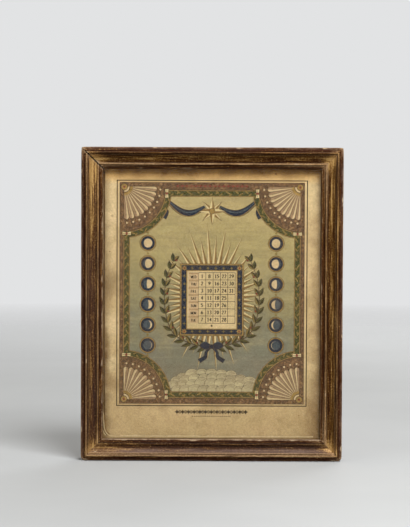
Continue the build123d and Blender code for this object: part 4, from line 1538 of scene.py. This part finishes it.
def moulding_frame():
    """The four mitred rails, with the mitre at the top left a little open."""
    gilt = gilt_material()
    level_wood = wood_material("rail_back_wood", RAIL_WOOD, "X", (150.0, 60.0), 0.02, 2.0)
    upright_wood = wood_material("stile_back_wood", RAIL_WOOD, "Z", (-30.0, 60.0), 0.03, 2.0)
    dirty_wood = wood_material("mitre_wood", MITRE_WOOD, "X", (0.0, 60.0), 0.0, 2.0)
    for number, node in enumerate(MITRE_GAPS, 1):
        level = node.endswith("rail")
        rail = Rail(node, number, FRAME_WIDTH if level else FRAME_HEIGHT)
        points = set_in_frame(node, *rail.points())
        rows, columns = rail.along.shape
        numbers, _, quads = tube(rows, columns)
        materials = [gilt, level_wood if level else upright_wood, dirty_wood]
        slots = np.where(rail.front, 0, 1).tolist() * (rows - 1) + [2, 2]
        piece = make_piece(f"gilt_{node}", points, quads + [numbers[0], numbers[-1]], materials, 50, slots)
        facing_up = np.array([vertex.normal.z for vertex in piece.data.vertices]).reshape(rows, columns)
        for name, values in rail.finish(facing_up).items():
            layer = piece.data.attributes.new(name, "FLOAT", "POINT")
            values = np.broadcast_to(values, (rows, columns)).astype(np.float32)
            layer.data.foreach_set("value", values.ravel())
        dress(piece, "frame", "gilt_moulding", node)


# Small brass pieces, as in the solids
EYE_WIRE, EYE_SHANK, EYE_PITCH = 1.0, 1.2, 1.1
# Degrees that the wire of the eye is bent from and to
EYE_BEND = (204, 510)
BUTTON_DISH, BUTTON_HOLLOW, BUTTON_ROUND, BUTTON_NOTCHES = 4.2, 0.5, 0.8, 44
# Half the gap between the ends of the ring, depth of the eye's thread as a share of its radius, and depth
# of the milling on the button
RING_GAP, THREAD_DEPTH, MILLING = 0.14, 0.30, 0.2
# How far the edges of these pieces are worn or filed round, in mm
SOFT_EDGES = {"backboard": 0.35, "backboard_brads": 0.25, "friction_washer": 0.15}


def revolve(profile, count, flutes):
    """A piece turned about the Y axis from (radius, y) points, first and last on it, grooved by flutes."""
    profile = np.asarray(profile, float)
    angles = np.arange(count) * math.tau / count
    inner = profile[1:-1]
    radius = inner[:, :1] - flutes(angles, inner)
    points = np.stack([radius * np.cos(angles), inner[:, 1:] + 0 * radius, radius * np.sin(angles)], -1)
    numbers, ahead, faces = tube(len(inner), count)
    first, last = len(inner) * count, len(inner) * count + 1
    faces += [[first, there, here] for here, there in zip(numbers[0], ahead[0])]
    faces += [[last, here, there] for here, there in zip(numbers[-1], ahead[-1])]
    return np.vstack([points.reshape(-1, 3), [(0, profile[0, 1], 0), (0, profile[-1, 1], 0)]]), faces


def wire(path, gauge, sides=14):
    """A round wire along a path that lies in a plane, with ends filed a little round."""
    run = np.gradient(path, axis=0)
    run /= np.linalg.norm(run, axis=1)[:, None]
    trim, filed = 0.35 * gauge, 0.72
    start, end = path[:1], path[-1:]
    path = np.vstack([start, start + run[:1] * trim, path[1:-1], end - run[-1:] * trim, end])
    run = np.vstack([run[:1], run, run[-1:]])
    radius = np.full(len(path), gauge)
    radius[[0, -1]] *= filed
    flat = np.linalg.svd(path - path.mean(axis=0))[2][2]
    angles = (np.arange(sides) * math.tau / sides)[None, :, None]
    rim = np.cross(run, flat)[:, None] * np.cos(angles) + flat * np.sin(angles)
    points = path[:, None] + rim * radius[:, None, None]
    numbers, _, faces = tube(len(path), sides)
    return points.reshape(-1, 3), faces + [numbers[0], numbers[-1]]


def hanging_ring(brass):
    """A ring bent from wire, its two ends nearly meeting at the foot."""
    low, high = node_box("hanging_ring")
    gauge = (high[1] - low[1]) / 2
    loop = (high[0] - low[0]) / 2 - gauge
    gap = RING_GAP / loop
    angles = np.linspace(-math.pi / 2 + gap, math.tau - math.pi / 2 - gap, 90)
    path = (low + high) / 2 + loop * np.column_stack([np.cos(angles), 0 * angles, np.sin(angles)])
    piece = make_piece("wire_hanging_ring", *wire(path, gauge), [brass], 40)
    dress(piece, "hanging_ring", "brass", "hanging_ring")


def screw_eye(brass):
    """A screw eye: wire bent into a loop, on a tapered shank with a cut thread."""
    low, high = node_box("hanging_eye")
    loop = (high[2] - low[2]) / 2 - EYE_WIRE
    height = (high[2] + low[2]) / 2
    bend = (high[1] - EYE_WIRE - loop, height) + loop * heading(np.radians(np.linspace(*EYE_BEND, 44)))
    neck = [(BACK_Y - 0.8, height), (BACK_Y + 0.2, height), (BACK_Y + 0.9, height - 0.2)]
    path = curve(np.vstack([neck, bend]), steps=3)
    loop_points, loop_faces = wire(np.column_stack([np.zeros(len(path)), path]), EYE_WIRE)
    share = np.linspace(0, 1, 150)
    root = BACK_Y - 0.2
    depth = root - share * (root - low[1])
    taper = EYE_SHANK * (1 - 0.25 * share) * np.minimum(1, (1 - share) / 0.14) ** 0.6
    profile = np.column_stack([np.maximum(taper, 0.02), depth])

    def cut_thread(turn, inner):
        radius, y = inner[:, :1], inner[:, 1:]
        groove = np.abs(2 * ((y / EYE_PITCH - turn / math.tau) % 1) - 1)
        return THREAD_DEPTH * radius * groove * smooth_step(BACK_Y - 0.4, BACK_Y - 2.6, y)

    points, faces = revolve([(0, depth[0]), *profile, (0, low[1])], 18, cut_thread)
    faces = [[corner + len(loop_points) for corner in face] for face in faces]
    points = np.vstack([loop_points, points + (0, 0, height)])
    piece = make_piece("bent_screw_eye", points, loop_faces + faces, [brass], 40)
    dress(piece, "frame", "brass", "hanging_eye")


def turned_button(brass):
    """The brass button: a milled rim, a hollowed face with turned rings, and a centre mark."""
    low, high = node_box("slide_button")
    radius = (high[0] - low[0]) / 2
    back, face = low[1], high[1]
    dish, ease, floor_y = BUTTON_DISH, BUTTON_ROUND, face - BUTTON_HOLLOW
    walls = [(radius - 0.3, back), (radius, back + 0.3)]
    walls += [(radius, y) for y in np.linspace(back + 0.3, face - ease, 6)[1:-1]]
    fillet = (radius - ease, face - ease) + ease * heading(np.linspace(0, math.pi / 2, 7))
    rim = [(dish + 0.25, face), (dish + 0.08, face - 0.02)]
    bowl = [(dish * share, face - BUTTON_HOLLOW * (1 - share**2)) for share in np.linspace(1.0, 0.16, 22)]
    rings = [(r, y - 0.06 * (0.5 + 0.5 * math.cos(r * math.tau / 0.8))) for r, y in bowl]
    mark = [(0.45, floor_y - 0.05), (0.25, floor_y - 0.3), (0, floor_y - 0.34)]

    def milling(turn, inner):
        r, y = inner[:, :1], inner[:, 1:]
        on_rim = (r > radius - 0.25) & (y > back + 0.2) & (y < face - 0.35)
        return MILLING * on_rim * np.clip(np.cos(turn * BUTTON_NOTCHES), 0, 1) ** 0.7

    profile = [(0, back), (2.0, back), *walls, *fillet, *rim, *rings, *mark]
    points, faces = revolve(profile, 4 * BUTTON_NOTCHES, milling)
    points += (low + high) / 2 * (1, 0, 1)
    piece = make_piece("turned_button", points, faces, [brass], 35)
    dress(piece, "weekday_slide", "brass", "slide_button")


def carried_over_nodes(brass):
    """Finishes of the CAD nodes whose shape is right as it is."""
    slip = wood_material("slip_wood", SLIP_WOOD, "Z", (40.0, 50.0), 0.02, 1.6)
    level_slip = wood_material("level_slip_wood", SLIP_WOOD, "X", (150.0, 50.0), 0.02, 1.6)
    board = wood_material("back_board_wood", BOARD_WOOD, "Z", (14.0, 6.0), 0.12, 3.1)
    finishes = (
        (glass_material(), "glass_pane"),
        (card_material(), "mount_board"),
        (slip, "spacer_left", "spacer_right", "slide_guide_left", "slide_guide_right", "slide_tongue"),
        (level_slip, "spacer_top", "spacer_bottom"),
        (board, "backboard"),
        (iron_material(), "mitre_nails", "backboard_brads"),
        (leather_material(), "friction_washer"),
        (brass, "slide_stud"),
    )
    for material, *nodes in finishes:
        for node in nodes:
            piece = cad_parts[node]
            piece.data.materials.clear()
            piece.data.materials.append(material)
            if node in SOFT_EDGES:
                bevel = piece.modifiers.new("soft_edge", "BEVEL")
                bevel.width = SOFT_EDGES[node] * MM
                bevel.segments = 2
                bevel.limit_method = "ANGLE"
                bevel.angle_limit = math.radians(50)


# Stage, light and camera, in metres, but for the floor's fade in mm. Lights: place, size and power
FLOOR_SIZE = 6.0
FLOOR_FADE = (700.0, 2600.0)
CENTRE = Vector((0, 0, FRAME_HEIGHT * MM / 2))
KEY_DIRECTION, KEY_DISTANCE = Vector((0.28, -0.60, 0.75)), 1.6
LIGHTS = {
    "key": (CENTRE + KEY_DIRECTION.normalized() * KEY_DISTANCE, 0.75, 27.0),
    "fill": (Vector((-1.5, -1.3, 0.9)), 1.4, 5.0),
    "rear": (Vector((0.7, 1.7, 1.2)), 1.2, 18.0),
}
AMBIENT, AMBIENT_COLOUR = 0.34, (255, 250, 240)
BACKGROUND = (226, 227, 228)
CAMERA_DISTANCE, CAMERA_HEIGHT = 1.6, 0.245
# Sensor in mm, rows of the picture, width of a pixel on the face of the frame in mm, and the place there
# that the picture is centred on
SENSOR = 36.0
PICTURE_ROWS = 527
MM_PER_PIXEL = 0.953
AIM = Vector((-0.0067, -0.008, 0.1892))
ROLL = math.radians(0.26)


def floor():
    """A wide pale floor that fades into the background far from the object."""
    work = bmesh.new()
    bmesh.ops.create_grid(work, x_segments=24, y_segments=24, size=FLOOR_SIZE / 2)
    mesh = bpy.data.meshes.new("pale_floor")
    work.to_mesh(mesh)
    work.free()
    shader = Shader("pale_floor")
    place = shader.place()
    tone = place.noise(0.004, 3.0).ramp((0.3, (186, 188, 189)), (0.7, (192, 194, 195)))
    mesh.materials.append(shader.finish(Base_Color=tone, Roughness=0.9, Specular_IOR_Level=0.1))
    fade = shader.add("VectorMath", (place,), "Value", operation="LENGTH").span(*FLOOR_FADE)
    clear = shader.add("BsdfTransparent")
    shader.show("Material Output", fade, Value(shader, shader.surface.outputs[0]), clear)
    ground = add_object("pale_floor", mesh)
    ground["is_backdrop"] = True


def aimed(place, aim):
    """The pose of a light or camera at a place, turned towards another."""
    return Matrix.Translation(place) @ (aim - place).to_track_quat("-Z", "Y").to_matrix().to_4x4()


def studio():
    """Soft key from the upper right, weak fill, and a pale room that the camera sees as plain."""
    for name, (place, size, power) in LIGHTS.items():
        light = bpy.data.lights.new(name, "AREA")
        light.shape, light.size, light.energy = "SQUARE", size, power
        add_object(name, light).matrix_world = aimed(place, CENTRE)
    world = bpy.data.worlds.new("room")
    bpy.context.scene.world = world
    world.use_nodes = True
    room = Nodes(world.node_tree)
    shown = room.tree.nodes["Background"]
    room.feed(shown.inputs["Color"], BACKGROUND)
    ambient = room.add("Background", {"Color": AMBIENT_COLOUR, "Strength": AMBIENT})
    seen, mirrored, through = (
        room.add("LightPath", output=f"Is {kind} Ray") for kind in ("Camera", "Glossy", "Transmission")
    )
    seen = seen.math("MAXIMUM", mirrored).math("MAXIMUM", through)
    room.show("World Output", seen, ambient, Value(room, shown.outputs[0]))


def camera():
    """A camera before the frame and a little above its middle, rolled a touch."""
    view = Vector((AIM.x, AIM.y - CAMERA_DISTANCE, CAMERA_HEIGHT))
    lens_camera = bpy.data.cameras.new("camera")
    lens_camera.sensor_width = SENSOR
    lens_camera.lens = (AIM - view).length / MM * SENSOR / (MM_PER_PIXEL * PICTURE_ROWS)
    eye = add_object("camera", lens_camera)
    eye.matrix_world = aimed(view, AIM) @ Matrix.Rotation(ROLL, 4, "Z")
    bpy.context.scene.camera = eye


moulding_frame()
print_sheet()
weekday_strip()
tarnished = brass_material()
hanging_ring(tarnished)
screw_eye(tarnished)
turned_button(tarnished)
carried_over_nodes(tarnished)
floor()
studio()
camera()
bpy.context.scene.view_settings.view_transform = "Standard"

boxes = {"cad": cad_box, "visual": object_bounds()}
{name: [list(corner) for corner in box] for name, box in boxes.items()}
